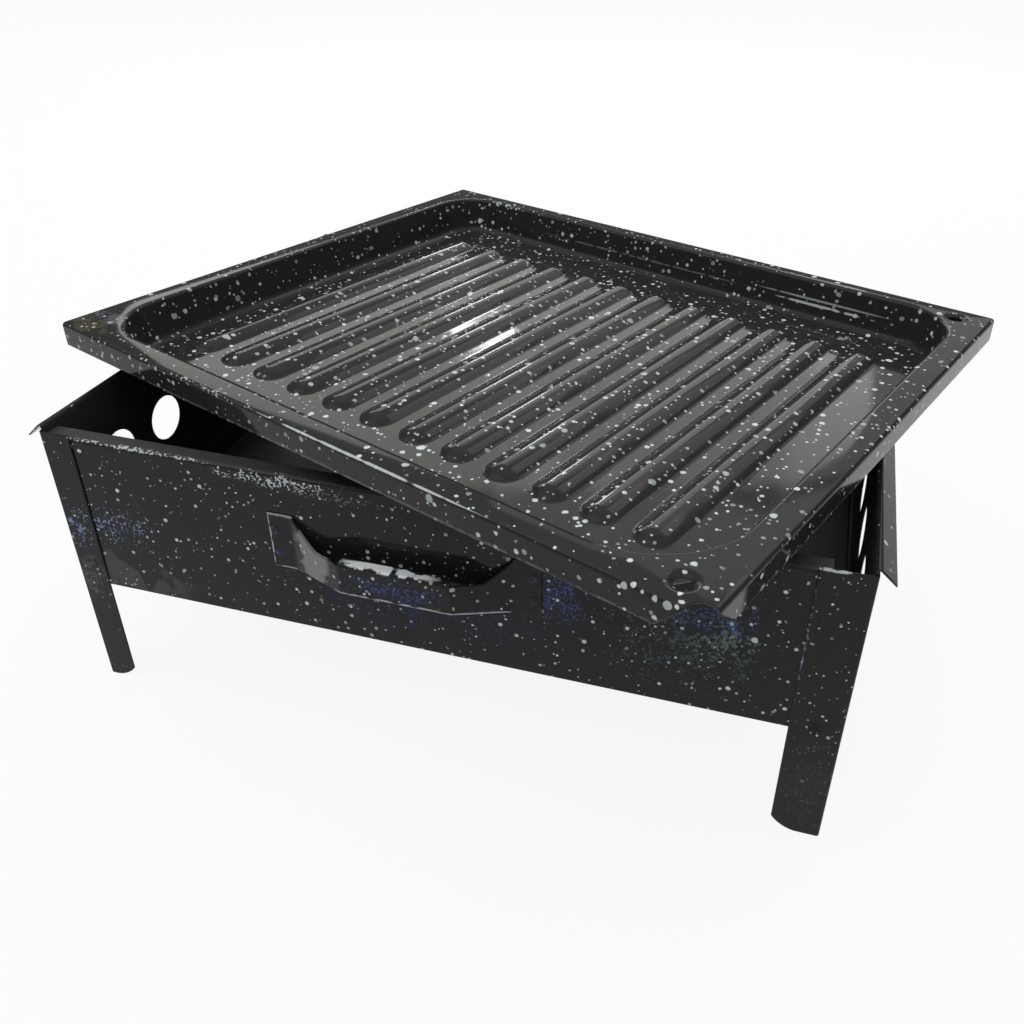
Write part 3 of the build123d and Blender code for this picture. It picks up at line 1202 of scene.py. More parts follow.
@dataclass
class Handles:
    """Two strap handles bent from sheet and spot welded to the long walls, in millimetres."""

    finish: Enamel
    thickness: float = 1.2
    wall_face: float = -149.1
    middle_x: float = -22.0
    half_grip: float = 28.0
    half_fold: float = 56.0
    half_handle: float = 68.5
    reach: float = 12.0
    bottom: float = 104.5
    strap_top: float = 136.0
    grip_top: float = 122.0
    dip: float = 14.0
    dip_sag: float = 0.25
    bend_radius: float = 6.0
    roll: float = 1.6
    roll_start: float = 1.5
    roll_ease: float = 4.0
    roll_least: float = 0.02
    bare_step: float = 0.1
    bare_rest: float = 0.4
    flange: float = 6.0
    flange_least: float = 0.3
    weld_x: float = 65.0
    weld_heights: Pair = (113.95, 126.55)

    def build(self) -> None:
        """Builds and hands over both handles."""
        skin = self._strap()
        away = Matrix.Translation((-BOX_MIDDLE[0], -BOX_MIDDLE[1], 0.0))
        places = (("front_handle", Matrix.Identity(4)), ("back_handle", CENTRE @ HALF_TURN @ away))
        for name, matrix in places:
            placed = skin.moved(matrix)
            pressed(placed, name, "_strap", self.thickness, self.finish, Slot.HANDLE)

    def _path(self) -> list[Triple]:
        """The strap's outer face seen from above: x, y and heading.

        Returns:
            The rows, from left to right.
        """
        tab = self.wall_face - self.thickness
        grip = self.wall_face - self.reach
        slope = math.atan2(tab - grip, self.half_fold - self.half_grip)
        reach = self.bend_radius * math.tan(slope / 2)
        ends = (-self.half_handle, -(self.half_fold + self.half_handle) / 2)
        rows = [(x, tab, 0.0) for x in ends]
        rows += bend((-self.half_fold - reach, tab), 0.0, self.bend_radius, -slope, 6)
        start = (-self.half_grip - reach * math.cos(slope), grip + reach * math.sin(slope))
        down = (0.08, 0.16, 0.24, 0.32, 0.4, 0.48, 0.56, 0.7, 0.85)
        rows += between(rows[-1], (*start, -slope), down)
        rows += bend(start, -slope, self.bend_radius, slope, 6)
        last = (rows[-1][0], grip, 0.0)
        rows += between(last, (0.0, grip, 0.0), (0.03, 0.06, 0.1, 0.35, 0.66, 1.0))
        return rows + [(-x, y, -way) for x, y, way in rows[-2::-1]]

    def _strap(self) -> Skin:
        """The front handle's outer face, its top edge rolled back over the slopes and the grip.

        Returns:
            The skin.
        """
        points, normals = [], []
        steps = 5
        for x, y, heading in self._path():
            slide = min(max((self.half_fold - abs(x)) / self.dip, 0.0), 1.0)
            slide = slide * (1 + self.dip_sag) - slide**2 * self.dip_sag
            top = self.strap_top + (self.grip_top - self.strap_top) * slide
            share = (self.half_grip + self.roll_start - abs(x)) / self.roll_ease
            share = min(max(share, 0.0), 1.0)
            share = share * share * (3 - 2 * share)
            back = np.array((-math.sin(heading), math.cos(heading), 0.0))
            heights = np.linspace(self.bottom, top - self.roll, steps)
            column = [np.array((x, y, z)) for z in heights]
            facing = [-back] * steps
            base, turned = column[-1], QUARTER * share
            for i in range(1, steps + 1):
                angle = turned * i / steps
                shift = back * (1 - math.cos(angle)) + UP * math.sin(angle)
                if share <= self.roll_least:
                    shift = UP * self.bare_step * i
                column.append(base + shift * self.roll)
                facing.append(UP * math.sin(angle) - back * math.cos(angle))
            rest = self.roll * (1 - share) * self.bare_rest + (self.flange - self.roll) * share
            ahead = back * math.sin(turned) + UP * math.cos(turned)
            ahead *= max(rest, self.flange_least)
            points.append(column + [column[-1] + ahead / 2, column[-1] + ahead])
            normals.append(facing + facing[-1:] * 2)
        return Skin.strip(points, normals).moved(Matrix.Translation((self.middle_x, 0.0, 0.0)))

    def welds(self) -> list[Mark]:
        """Places and directions of the spot welds on the tabs.

        Returns:
            The marks.
        """
        marks = []
        face = self.wall_face - self.thickness
        for x in (self.middle_x - self.weld_x, self.middle_x + self.weld_x):
            for z in self.weld_heights:
                behind = (2 * BOX_MIDDLE[0] - x, 2 * BOX_MIDDLE[1] - face, z)
                marks += [((x, face, z), (0.0, -1.0, 0.0)), (behind, (0.0, 1.0, 0.0))]
        return marks


@dataclass
class WeldMarks:
    """Spot weld marks of one sub-assembly."""

    name: str
    finish: Enamel
    slot: Slot
    marks: list[Mark]
    radius: float = 2.3
    rise: float = 0.22

    def build(self) -> None:
        """Builds and hands over the marks as one piece."""
        mesh = bpy.data.meshes.new(self.name)
        mesh.from_pydata([tuple(c * MM for c in spot) for spot, _ in self.marks], [], [])
        facing = mesh.attributes.new("facing", "FLOAT_VECTOR", "POINT")
        facing.data.foreach_set("vector", [c for _, way in self.marks for c in way])
        item = weld_press().applied(
            linked(self.name, mesh),
            Radius=self.radius * MM,
            Rise=self.rise * MM,
            Material=self.finish.material(),
        )
        kept(dressed(item, self.finish), Body.FIREBOX, self.slot)


@dataclass
class GriddleTray:
    """The loose tray: rim with skirts, pressed well, ribs and dished holes, in millimetres."""

    finish: Enamel
    sheet: float = 1.0
    length: float = 401.0
    width: float = 328.0
    turn: float = -21.0
    place: Triple = (0.0, -1.6, 186.0)
    corner: float = 2.5
    corner_least: float = 0.4
    skirt: float = 13.0
    fold: float = 2.0
    rim_side: float = 14.5
    rim_front: float = 13.0
    rim_back: float = 12.0
    rim_blend: float = 2.5
    well_corners: tuple[float, float, float, float] = (48.0, 34.0, 28.0, 34.0)
    depth: float = 22.0
    taper: float = 16.0
    floor_blend: float = 6.0
    rib_count: int = 12
    rib_pitch: float = 27.2
    rib_width: float = 19.0
    rib_height: float = 3.5
    rib_length: float = 234.0
    rib_foot: float = 3.0
    rib_middle: Pair = (-5.0, 1.5)
    hole: float = 3.5
    dish: float = 7.5
    dish_depth: float = 1.8
    pad_side: float = 18.5
    pad_front: float = 13.0
    notch_front: float = 11.0
    notch_side: float = 7.5
    notch_pull: Pair = (0.8, 1.6)
    cut_front: float = 22.0
    cut_side: float = 20.0
    crown: float = 5.0
    crown_flat: float = 1.0
    upright: float = 0.05

    @property
    def half(self) -> Pair:
        """Half the tray's length and width."""
        return self.length / 2, self.width / 2

    @property
    def drop(self) -> float:
        """How far the well's wall leans in from its mouth to its floor."""
        return self.depth * math.tan(math.radians(self.taper))

    @property
    def floor_reach(self) -> float:
        """Distance from the corner of wall and floor to the end of the blend on the floor."""
        return self.floor_blend * math.tan(math.radians(90 - self.taper) / 2)

    def build(self) -> None:
        """Builds and hands over the tray."""
        rim_path, rim = self._skirts()
        mouth, well = self._well()
        pads = [self._dish(side) for side in (-1, 1)]
        top = Skin.fill(rim_path, [mouth, *(loop for loop, _ in pads)], 0.0)
        patch = self._rib_field()
        floor = Skin.fill(self._ring(self.drop + self.floor_reach), [border(patch)], -self.depth)
        ribs = Skin.strip(patch, np.tile(UP, (*patch.shape[:2], 1)))
        rim, top, *pads = map(self._crowned, (rim, top, *(skin for _, skin in pads)))
        whole = Skin.joined(rim, top, well, floor, ribs, *pads)
        item = whole.thickened("griddle_tray_pressing", self.sheet)
        arc = (self.rib_width**2 / 4 + self.rib_height**2) / (2 * self.rib_height)
        rib_press().applied(
            item,
            Count=float(self.rib_count),
            Pitch=self.rib_pitch * MM,
            Length=(self.rib_length - self.rib_width) * MM,
            Crown=arc * MM,
            Height=self.rib_height * MM,
            Foot=self.rib_foot * MM,
            Middle_X=self.rib_middle[0] * MM,
            Middle_Y=self.rib_middle[1] * MM,
            Material=self.finish.material(),
        )
        turn = Matrix.Rotation(math.radians(self.turn), 4, "Z")
        item.data.transform(Matrix.Translation(Vector(self.place) * MM) @ turn)
        kept(dressed(item, self.finish), Body.GRIDDLE, Slot.TRAY, "griddle_tray")

    def _crowned(self, skin: Skin) -> Skin:
        """Lets the rim fall away a little towards its outer edge, as a pressed rim does.

        Args:
            skin: a part of the rim.

        Returns:
            The same skin.
        """
        gaps = np.array(self.half) - np.abs(skin.points[:, :2])
        near = np.argmin(gaps, axis=1)
        rows = np.arange(len(near))
        crowned = self.rim_front - self.crown_flat
        left = np.clip(crowned - gaps[rows, near], 0.0, None)
        slope = math.tan(math.radians(self.crown)) * left / crowned
        lean = np.zeros((len(near), 3))
        lean[rows, near] = np.sign(skin.points[rows, near]) * slope
        tilted = skin.normals + lean * (skin.normals[:, 2:] > self.upright)
        skin.points[:, 2] -= slope * left / 2
        skin.normals = tilted / np.linalg.norm(tilted, axis=1)[:, None]
        return skin

    def _ring(self, inset: float) -> np.ndarray:
        """The well's outline at a distance inside its mouth, each corner with its own radius.

        Args:
            inset: the distance, negative for outside.

        Returns:
            The loop, anticlockwise from its front right corner.
        """
        half_x = self.length / 2 - self.rim_side - inset
        half_y = (self.width - self.rim_front - self.rim_back) / 2 - inset
        arcs = []
        for quarter, (sx, sy) in enumerate(((1, -1), (1, 1), (-1, 1), (-1, -1))):
            radius = self.well_corners[quarter] - inset
            cx, cy = sx * (half_x - radius), sy * (half_y - radius)
            sweep = np.linspace(0, QUARTER, 23) + (quarter - 1) * QUARTER
            arcs.append([(cx + radius * math.cos(a), cy + radius * math.sin(a)) for a in sweep])
        rows = []
        for arc, ahead in zip(arcs, arcs[1:] + arcs[:1]):
            rows += arc + between(arc[-1], ahead[0], np.arange(1, 10) / 10)
        return np.array(rows) + (0.0, (self.rim_front - self.rim_back) / 2)

    def _well(self) -> tuple[np.ndarray, Skin]:
        """The blend at the well's mouth, its wall and the blend into its floor.

        Returns:
            The outline where it leaves the rim, and the skin.
        """
        fall = math.radians(90 - self.taper)
        lead = self.rim_blend * math.tan(fall / 2)
        rows = bend((-lead, 0.0), 0.0, self.rim_blend, -fall, 8)
        reach = self.floor_reach
        low = (self.drop - reach * math.cos(fall), -self.depth + reach * math.sin(fall))
        rows += between(rows[-1], (*low, -fall), (0.33, 0.66))
        rows += bend(low, -fall, self.floor_blend, fall, 10)
        rows[-1] = (self.drop + reach, -self.depth, 0.0)
        ways = self._ring(-1.0) - self._ring(0.0)
        ways /= np.linalg.norm(ways, axis=1)[:, None]
        points = [lifted(self._ring(inset), z) for inset, z, _ in rows]
        normals = [lifted(ways * math.sin(way), math.cos(way)) for *_, way in rows]
        return self._ring(-lead), Skin.strip(points, normals, closed=True)

    def _skirts(self) -> tuple[np.ndarray, Skin]:
        """The rim's fold and skirts, which stop on both sides of the notched corner.

        Returns:
            The outline of the rim's flat, and the skin.
        """
        levels = (-self.skirt, -(self.skirt + self.fold) / 2, -self.fold)
        rows = [(0.0, z, 0.0) for z in levels]
        for a in np.linspace(0, QUARTER, 7)[1:]:
            rows.append((self.fold * (1 - math.cos(a)), self.fold * (math.sin(a) - 1), a))
        outward = np.array(self._open_loop(-1.0)) - np.array(self._open_loop(0.0))
        ways = np.array([unit(way) for way in outward])
        ways[0], ways[-1] = (0.0, -1.0), (1.0, 0.0)
        points, normals = [], []
        for inset, z, lean in rows:
            loop = np.array(self._open_loop(inset))
            fall = max(-self.fold - z, 0.0) / (self.skirt - self.fold)
            loop[0, 0] -= (self.cut_front - self.notch_front) * fall
            loop[-1, 1] += (self.cut_side - self.notch_side) * fall
            points.append(lifted(loop, z))
            normals.append(lifted(ways * math.cos(lean), math.sin(lean)))
        return np.array(self._open_loop(self.fold) + self._notch()), Skin.strip(points, normals)

    def _notch(self) -> list[Any]:
        """The hollow edge of the rim where its front right corner is cut away.

        Returns:
            Rows of x and y.
        """
        (hx, hy), (px, py) = self.half, self.notch_pull
        start = np.array((hx - self.fold, -hy + self.notch_side))
        pull = np.array((hx - self.notch_side - px, -hy + self.notch_side + py))
        goal = np.array((hx - self.notch_front, -hy + self.fold))
        shares = (0.2, 0.38, 0.54, 0.7, 0.85)
        return [
            tuple(start * (1 - t) ** 2 + pull * (2 * t * (1 - t)) + goal * (t * t)) for t in shares
        ]

    def _open_loop(self, inset: float) -> list[Any]:
        """The rim's outline at a distance inside its edge, from the notch round to the notch.

        Args:
            inset: the distance, negative for outside.

        Returns:
            Rows of x and y, clockwise from the notch's front side.
        """
        (hx, hy), corner = self.half, self.corner
        sides = (
            ((hx - self.notch_front, -hy + inset), (-hx + corner, -hy + inset)),
            ((-hx + inset, -hy + corner), (-hx + inset, hy - corner)),
            ((-hx + corner, hy - inset), (hx - corner, hy - inset)),
            ((hx - inset, hy - corner), (hx - inset, -hy + self.notch_side)),
        )
        turns = ((-1, -1, -QUARTER), (-1, 1, math.pi), (1, 1, QUARTER))
        reach = max(corner - inset, self.corner_least)
        rows = between(*sides[0], np.arange(13) / 12)
        for side, (sx, sy, start) in zip(sides[1:], turns):
            cx, cy = sx * (hx - corner), sy * (hy - corner)
            for i in range(1, 6):
                angle = start - QUARTER * i / 6
                rows.append((cx + reach * math.cos(angle), cy + reach * math.sin(angle)))
            rows += between(*side, np.arange(13) / 12)
        return rows

    def _dish(self, side: int) -> tuple[np.ndarray, Skin]:
        """A dished hole in one of the two right corner pads.

        Args:
            side: side of the tray along its width.

        Returns:
            The dish's outline and its skin.
        """
        middle = np.array((self.half[0] - self.pad_side, side * (self.half[1] - self.pad_front)))
        angles = np.linspace(0, 2 * math.pi, 33)[:-1]
        ways = np.column_stack([np.cos(angles), np.sin(angles)])
        points, normals = [], []
        for t in np.linspace(0, 1, 9):
            radius = self.dish + (self.hole - self.dish) * t
            z = -self.dish_depth * (1 - math.cos(t * QUARTER))
            fall = self.dish_depth * QUARTER * math.sin(t * QUARTER) / (self.dish - self.hole)
            lean = math.atan(fall)
            points.append(lifted(middle + radius * ways, z))
            normals.append(lifted(-ways * math.sin(lean), math.cos(lean)))
        return points[0][:, :2], Skin.strip(points, normals, closed=True)

    def _rib_field(self) -> np.ndarray:
        """The level grid that the rib press works on, finest at the ribs' sides and ends.

        Returns:
            Rows by columns by three.
        """
        half_run = (self.rib_length - self.rib_width) / 2
        crown, foot, edge = np.arange(0, 8.6, 0.7), np.arange(8.74, 10.7, 0.3), 11.6
        offsets = np.concatenate([crown, foot, [edge, self.rib_pitch / 2]])
        offsets = np.unique(np.round(np.concatenate([-offsets, offsets]), 3))[:-1]
        numbers = np.arange(self.rib_count) - (self.rib_count - 1) / 2
        centres = self.rib_middle[0] + numbers * self.rib_pitch
        columns = np.concatenate([c + offsets for c in centres])
        columns = np.append(columns, centres[-1] + self.rib_pitch / 2)
        columns = np.clip(columns, centres[0] - edge, centres[-1] + edge)
        cap, cap_foot, last = np.arange(0, 9.2, 0.65), np.arange(9.2, 11.2, 0.4), 12.0
        ends = np.concatenate([cap, cap_foot, [last]])
        straight = np.linspace(-half_run, half_run, 12)[1:-1]
        rows = np.concatenate([-half_run - ends[::-1], straight, half_run + ends])
        xs, ys = np.meshgrid(
            np.unique(np.round(columns, 3)), np.unique(np.round(rows, 3)) + self.rib_middle[1]
        )
        return np.stack([xs, ys, np.full(xs.shape, -self.depth)], axis=-1)


def border(patch: np.ndarray) -> np.ndarray:
    """The outline of a grid, anticlockwise."""
    flat = patch[..., :2]
    return np.concatenate([flat[0, :-1], flat[:-1, -1], flat[-1, :0:-1], flat[:0:-1, 0]])


# Studio


@dataclass(frozen=True)
class Lamp:
    """A flat soft lamp, placed by where it stands seen from the object.

    Attributes:
        name: its name.
        azimuth: degrees from the back towards the right.
        elevation: degrees above the floor.
        away: distance in metres.
        wide: width in metres.
        tall: height in metres.
        glow: brightness of its face, where 1 is white.
        colour: its colour.
    """

    name: str
    azimuth: float
    elevation: float
    away: float
    wide: float
    tall: float
    glow: float
    colour: Triple = (1.0, 1.0, 1.0)

    def build(self, target: Vector) -> None:
        """Hangs the lamp and turns it to the object.

        Args:
            target: the point that it is turned to.
        """
        a, e = math.radians(self.azimuth), math.radians(self.elevation)
        way = Vector((math.sin(a) * math.cos(e), math.cos(a) * math.cos(e), math.sin(e)))
        light = bpy.data.lights.new(self.name, "AREA")
        light.shape = "RECTANGLE"
        light.size, light.size_y = self.wide, self.tall
        light.energy = self.glow * math.pi * self.wide * self.tall
        light.color = self.colour
        lamp = linked(self.name, light)
        lamp.location = target + way * self.away
        lamp.rotation_euler = (-way).to_track_quat("-Z", "Y").to_euler()
        lamp.visible_camera = False


@dataclass(frozen=True)
class Studio:
    """Pale floor, soft lamps, dim room and the camera of the photograph.

    The room is dim below a height on the unit sphere and brightens over a band above it.
    """

    floor_size: float = 16.0
    floor_white: float = 0.86
    floor_glow: float = 0.9
    room_low: float = 0.18
    room_high: float = 1.15
    room_edge: float = 0.45
    room_band: float = 0.4
    lamps: tuple[Lamp, ...] = (
        Lamp("back_softbox", -19.2, 26.8, 2.6, 2.4, 0.75, 2.4, (1.0, 1.0, 0.96)),
        Lamp("back_side_softbox", 15.5, 26.0, 2.6, 0.92, 0.75, 0.85),
        Lamp("back_right_softbox", 25.0, 51.0, 2.4, 1.0, 0.55, 1.8),
        Lamp("back_fill", 9.0, 40.0, 2.5, 2.2, 0.4, 1.1),
        Lamp("overhead_softbox", -150.0, 62.0, 2.2, 2.0, 1.2, 0.9),
        Lamp("left_softbox", -105.0, 38.0, 2.0, 0.8, 1.2, 1.3),
        Lamp("window", -21.5, 24.2, 1.4, 0.12, 0.04, 28.0),
    )
    lamp_target: Triple = (0.0, 0.0, 0.15)
    azimuth: float = -0.264694
    elevation: float = 0.559400
    roll: float = 0.0178999
    focal_pixels: float = 978.289
    eye: Triple = (144.248, -483.882, 402.287)
    middle: Pair = (559.164, 471.111)
    frame: int = 1024
    sensor: float = 36.0

    def build(self) -> None:
        """Sets the floor, the room, the lamps and the camera."""
        self._floor()
        self._room()
        for lamp in self.lamps:
            lamp.build(Vector(self.lamp_target))
        self._camera()

    def _floor(self) -> None:
        """A white level floor that shows as white and keeps a soft shadow."""
        half = self.floor_size / 2
        corners = [(-half, -half, 0), (half, -half, 0), (half, half, 0), (-half, half, 0)]
        mesh = bpy.data.meshes.new("studio_floor")
        mesh.from_pydata(corners, [], [(0, 1, 2, 3)])
        item = linked("studio_floor", mesh)
        paint = bpy.data.materials.new("floor_paint")
        graph = Graph.of(paint)
        ray = graph.node("ShaderNodeLightPath")
        seen = graph.out(ray, "Is Camera Ray").atleast(graph.out(ray, "Is Glossy Ray"))
        seen = seen.atleast(graph.out(ray, "Is Transmission Ray")) * self.floor_glow
        pale = (*(self.floor_white,) * 3, 1.0)
        matt = graph.node("ShaderNodeBsdfDiffuse", Color=pale)
        white = graph.node("ShaderNodeEmission", Color=WHITE, Strength=1.0)
        both = graph.node("ShaderNodeMixShader", s0=seen, s1=matt, s2=white)
        graph.node("ShaderNodeOutputMaterial", Surface=both)
        item.data.materials.append(paint)

    def _room(self) -> None:
        """The even light of the room: dim low down and lighter above."""
        world = bpy.data.worlds.new("room")
        graph = Graph.of(world)
        high = graph.axes(graph.node("ShaderNodeTexCoord").outputs["Generated"])[2]
        share = ((high - self.room_edge) / self.room_band).clamped()
        level = share * (self.room_high - self.room_low) + self.room_low
        grey = graph.node("ShaderNodeBackground", Color=WHITE, Strength=level)
        graph.node("ShaderNodeOutputWorld", Surface=grey)
        bpy.context.scene.world = world

    def _camera(self) -> None:
        """The camera where the photographer stood."""
        a, e = self.azimuth, self.elevation
        ahead = Vector((math.sin(a) * math.cos(e), math.cos(a) * math.cos(e), -math.sin(e)))
        right = ahead.cross(Vector((0, 0, 1))).normalized()
        up = right.cross(ahead)
        c, s = math.cos(self.roll), math.sin(self.roll)
        side, above = right * c + up * s, up * c - right * s
        data = bpy.data.cameras.new("photo_camera")
        data.sensor_width = self.sensor
        data.lens = self.sensor * self.focal_pixels / self.frame
        data.shift_x = (self.frame / 2 - self.middle[0]) / self.frame
        data.shift_y = (self.middle[1] - self.frame / 2) / self.frame
        data.clip_start, data.clip_end = 0.01, 60.0
        camera = linked("photo_camera", data)
        turn = Matrix((side, above, -ahead)).transposed().to_4x4()
        camera.matrix_world = Matrix.Translation(Vector(self.eye) * MM) @ turn
        bpy.context.scene.camera = camera
        bpy.context.scene.view_settings.view_transform = "Standard"


BLACK: Triple = (0.0135, 0.0137, 0.0142)
WALL_SPECKS = (
    Specks(cell=8.0, radius=2.1, share=0.3, ragged=1.0, shift=0.0),
    Specks(cell=4.1, radius=1.3, share=0.4, ragged=0.5, shift=31.0),
    Specks(cell=3.0, radius=0.75, share=0.28, ragged=0.3, shift=67.0),
)
LEG_SPECKS = (
    Specks(cell=3.6, radius=1.15, share=0.5, ragged=0.4, shift=12.0),
    Specks(cell=2.6, radius=0.7, share=0.4, ragged=0.2, shift=41.0),
)
TRAY_SPECKS = (
    Specks(cell=8.0, radius=2.3, share=0.28, ragged=1.5, shift=7.0),
    Specks(cell=4.2, radius=1.65, share=0.45, ragged=0.8, shift=55.0),
    Specks(cell=3.0, radius=0.95, share=0.35, ragged=0.4, shift=83.0),
)
# Colours of painted light: a pale painted highlight, a blue painted reflection and a grey painted
# reflection
PAINTED_HIGHLIGHT: Triple = (0.55, 0.58, 0.6)
PAINTED_BLUE_REFLECTION: Triple = (0.05, 0.085, 0.3)
PAINTED_GREY_REFLECTION: Triple = (0.06, 0.062, 0.066)
# Painted light on the front wall: blue and teal painted reflections low down, a grey painted
# reflection by the left leg, bluish painted reflections near the left end and painted highlights
# along the top bend
WALL_PAINTED_LIGHT = (
    # Blue and teal painted reflections on the lower wall
    Tint((-12.0, -149.6, 96.0), (70.0, 6.0, 24.0), (0.022, 0.034, 0.1), 0.8),
    Tint((52.0, -149.6, 116.0), (22.0, 6.0, 20.0), PAINTED_BLUE_REFLECTION, 0.8),
    Tint((112.0, -149.6, 106.0), (46.0, 6.0, 36.0), (0.05, 0.08, 0.085), 0.8, 1.4),
    Tint((130.0, -149.6, 110.0), (17.0, 6.0, 13.0), (0.1, 0.15, 0.14), 0.8, 1.4, 0.45),
    Tint((128.0, -149.6, 124.0), (30.0, 6.0, 13.0), PAINTED_BLUE_REFLECTION, 0.7),
    # A grey painted reflection by the left leg, then bluish painted reflections near the left end
    Tint((-196.0, -149.6, 76.0), (58.0, 6.0, 19.0), (0.06, 0.062, 0.065), 0.8, 14.0, 1.0),
    Tint((-184.0, -149.6, 108.0), (32.0, 6.0, 18.0), (0.2, 0.26, 0.45), 0.9, 1.3, 0.0),
    # Painted highlights along the top bend
    Tint((-160.0, -148.4, 157.5), (46.0, 3.0, 0.9), PAINTED_HIGHLIGHT, 0.8, 1.5, 0.5),
    Tint((-84.0, -149.0, 154.0), (40.0, 4.0, 5.0), PAINTED_HIGHLIGHT, 0.95, 1.2, 0.35),
    Tint((-52.0, -149.0, 150.0), (26.0, 4.0, 4.0), (0.16, 0.18, 0.2), 0.8, 1.2, 0.2),
)
LEG_PAINTED_LIGHT = (
    # A bluish painted highlight along the right leg's free edge, and a painted highlight at its
    # top
    Tint((164.4, -150.4, 112.0), (1.4, 3.0, 48.0), (0.14, 0.18, 0.26), 0.8, 1.6, 0.4),
    Tint((170.0, -150.4, 159.5), (8.0, 3.0, 1.0), PAINTED_HIGHLIGHT, 0.9, 2.0, 0.9),
    # A grey painted reflection and bluish painted reflections on the left leg
    Tint((-206.0, -150.4, 74.0), (12.0, 5.0, 18.0), PAINTED_GREY_REFLECTION, 0.8, 3.0, 0.6),
    Tint((-206.0, -150.4, 104.0), (12.0, 5.0, 18.0), (0.2, 0.26, 0.45), 0.9, 1.3, 0.0),
    # A dark painted reflection spot and a lighter painted reflection of the floor low on the right
    # leg
    Tint((176.0, -150.4, 70.0), (5.0, 3.0, 5.0), (0.004, 0.004, 0.004), 0.9, 3.0, 0.9),
    Tint((178.0, -150.4, 30.0), (20.0, 3.0, 34.0), (0.03, 0.032, 0.032), 0.8, 3.0, 0.5),
)
HANDLE_PAINTED_LIGHT = (
    # A painted reflection that lightens the left slope, a painted highlight along the grip's
    # rolled top and a blue painted reflection on the grip
    Tint((-66.0, -154.0, 118.0), (14.0, 9.0, 22.0), (0.2, 0.205, 0.21), 0.85, 9.0, 1.0),
    Tint((-26.0, -158.5, 122.0), (28.0, 3.4, 2.2), (0.85, 0.88, 0.9), 0.95, 5.0, 1.25),
    Tint((-20.0, -161.0, 112.0), (34.0, 4.0, 10.0), PAINTED_BLUE_REFLECTION, 0.6),
    # Painted highlights along the strap's lower edge
    Tint((-16.0, -160.0, 104.3), (66.0, 10.0, 1.8), (0.4, 0.42, 0.46), 0.9, 8.0, 1.0),
    Tint((24.0, -156.0, 104.6), (19.0, 8.0, 1.4), (0.4, 0.42, 0.46), 0.9, 8.0, 1.25),
    # Painted highlights along the left tab's edges
    Tint((-90.3, -150.5, 120.0), (1.0, 3.0, 20.0), PAINTED_HIGHLIGHT, 0.7, 6.0, 1.0),
    Tint((-83.0, -150.5, 135.8), (13.0, 3.0, 1.0), PAINTED_HIGHLIGHT, 0.7, 6.0, 1.0),
    Tint((-83.0, -150.5, 104.6), (13.0, 3.0, 1.0), PAINTED_HIGHLIGHT, 0.7, 6.0, 1.0),
    # Blue painted reflections at three spot welds
    Tint((-87.0, -151.2, 126.5), (3.6, 2.0, 4.4), PAINTED_BLUE_REFLECTION, 0.9),
    Tint((-87.0, -151.2, 113.9), (3.6, 2.0, 4.4), PAINTED_BLUE_REFLECTION, 0.9),
    Tint((43.0, -151.2, 124.5), (3.6, 2.0, 4.4), PAINTED_BLUE_REFLECTION, 0.9),
)
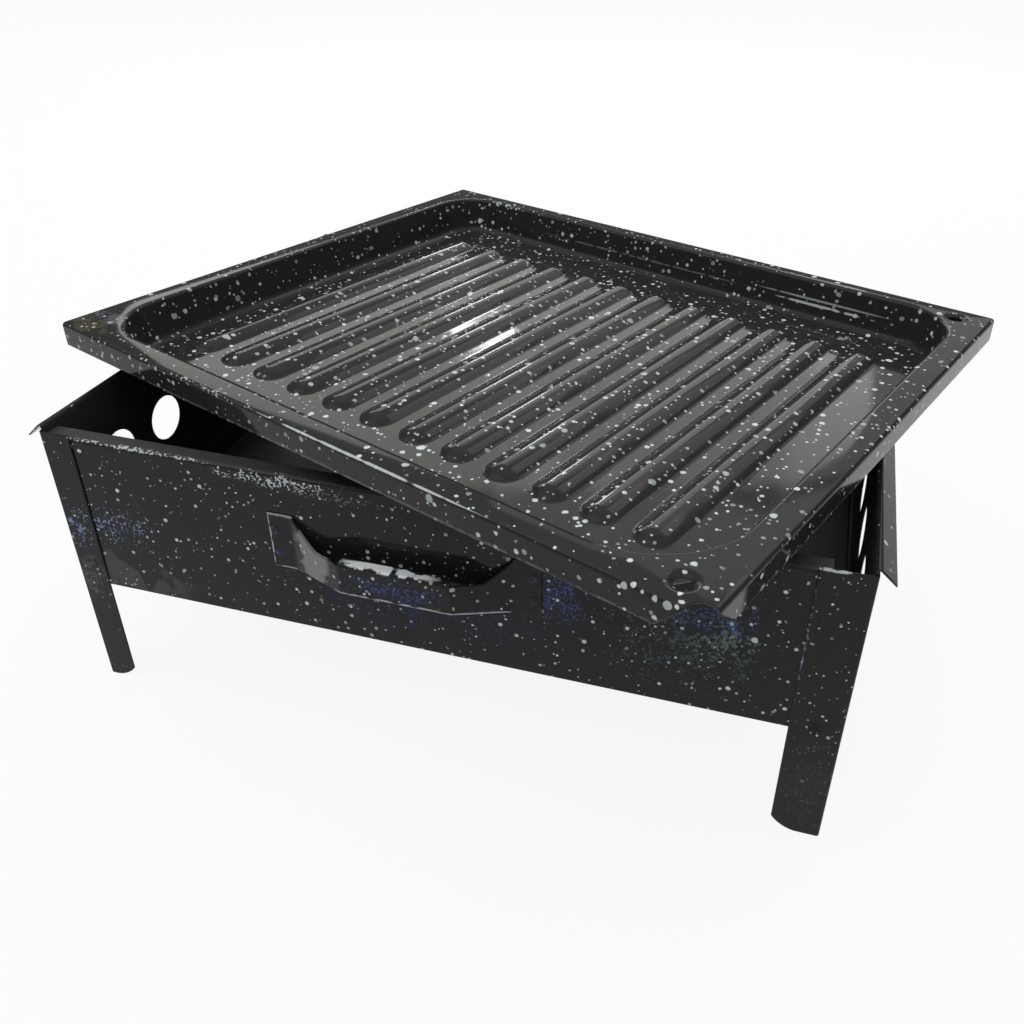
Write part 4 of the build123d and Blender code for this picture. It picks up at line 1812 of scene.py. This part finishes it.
TRAY_TINTS_AND_PAINTED_LIGHT = (
    # Painted highlights along the front fold, the front rim and the front skirt's lower edge
    Tint((30.0, -163.4, 185.2), (76.0, 0.8, 0.8), PAINTED_HIGHLIGHT, 0.9, 9.0, 1.25),
    Tint((-70.0, -163.0, 185.0), (60.0, 2.6, 2.6), PAINTED_HIGHLIGHT, 0.9, 1.1, 0.0),
    Tint((20.0, -164.2, 173.4), (200.0, 2.0, 0.9), (0.1, 0.1, 0.095), 0.8, 3.0, 0.9),
    # A warm line along the right skirt's lower edge and a brownish front left corner, the enamel's
    # own colour
    Tint((200.6, 0.0, 173.4), (2.0, 170.0, 0.9), (0.13, 0.115, 0.085), 0.8, 3.0, 0.9),
    Tint((-186.0, -156.0, 186.0), (22.0, 9.0, 4.0), (0.062, 0.055, 0.036), 0.85, 4.0, 0.8),
    # Painted reflections on the front left pad and inside the back left of the well
    Tint((-180.0, -144.0, 186.0), (22.0, 6.0, 4.0), (0.09, 0.095, 0.11), 0.8, 3.0, 0.8),
    Tint((-144.0, 117.0, 167.0), (9.0, 9.0, 5.0), (0.24, 0.27, 0.25), 0.8, 2.4, 0.6),
    # Painted highlights along the back rim and the back wall of the well
    Tint((-150.0, 152.5, 184.6), (24.0, 2.0, 2.0), PAINTED_HIGHLIGHT, 0.8, 2.5, 0.6),
    Tint((103.0, 148.9, 175.4), (46.0, 2.5, 0.7), (0.36, 0.38, 0.38), 0.8, 9.0, 1.25),
    Tint((106.0, 148.2, 172.4), (38.0, 2.5, 0.9), PAINTED_HIGHLIGHT, 0.9, 7.0, 1.1),
    Tint((128.0, 131.5, 164.5), (32.0, 5.0, 3.0), (0.3, 0.32, 0.33), 0.8, 2.2, 0.3),
    Tint((-30.0, 148.4, 173.6), (90.0, 2.5, 0.8), (0.13, 0.14, 0.13), 0.8, 6.0, 0.9),
)
FIREBOX_ENAMEL = Enamel("Firebox enamel", BLACK, WALL_SPECKS, plain_inside=True, tints=WALL_PAINTED_LIGHT)
LEG_ENAMEL = Enamel("Leg enamel", BLACK, LEG_SPECKS, dull_below=66.0, tints=LEG_PAINTED_LIGHT)
HANDLE_ENAMEL = Enamel("Handle enamel", BLACK, WALL_SPECKS, tints=HANDLE_PAINTED_LIGHT)
TRAY_ENAMEL = Enamel(
    "Tray enamel",
    (0.018, 0.0182, 0.0178),
    TRAY_SPECKS,
    swell=0.1,
    tints=TRAY_TINTS_AND_PAINTED_LIGHT,
    middle=(0.0, -1.6),
    turned=-21.0,
)


def corners(box: Iterable[Iterable[float]]) -> list[list[float]]:
    """A box as plain lists of numbers."""
    return [list(corner) for corner in box]


def main() -> None:
    """Builds every sub-assembly, then the studio."""
    logging.basicConfig(level=logging.INFO, format="%(name)s: %(message)s")
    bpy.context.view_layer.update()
    Firebox(FIREBOX_ENAMEL).build()
    legs = Legs(LEG_ENAMEL)
    legs.build()
    handles = Handles(HANDLE_ENAMEL)
    handles.build()
    WeldMarks("leg_spot_welds", LEG_ENAMEL, Slot.LEG, legs.welds(), rise=0.09).build()
    WeldMarks("handle_spot_welds", HANDLE_ENAMEL, Slot.HANDLE, handles.welds()).build()
    GriddleTray(TRAY_ENAMEL).build()
    Studio().build()
    bpy.context.view_layer.update()


if __name__ == "__main__":
    main()
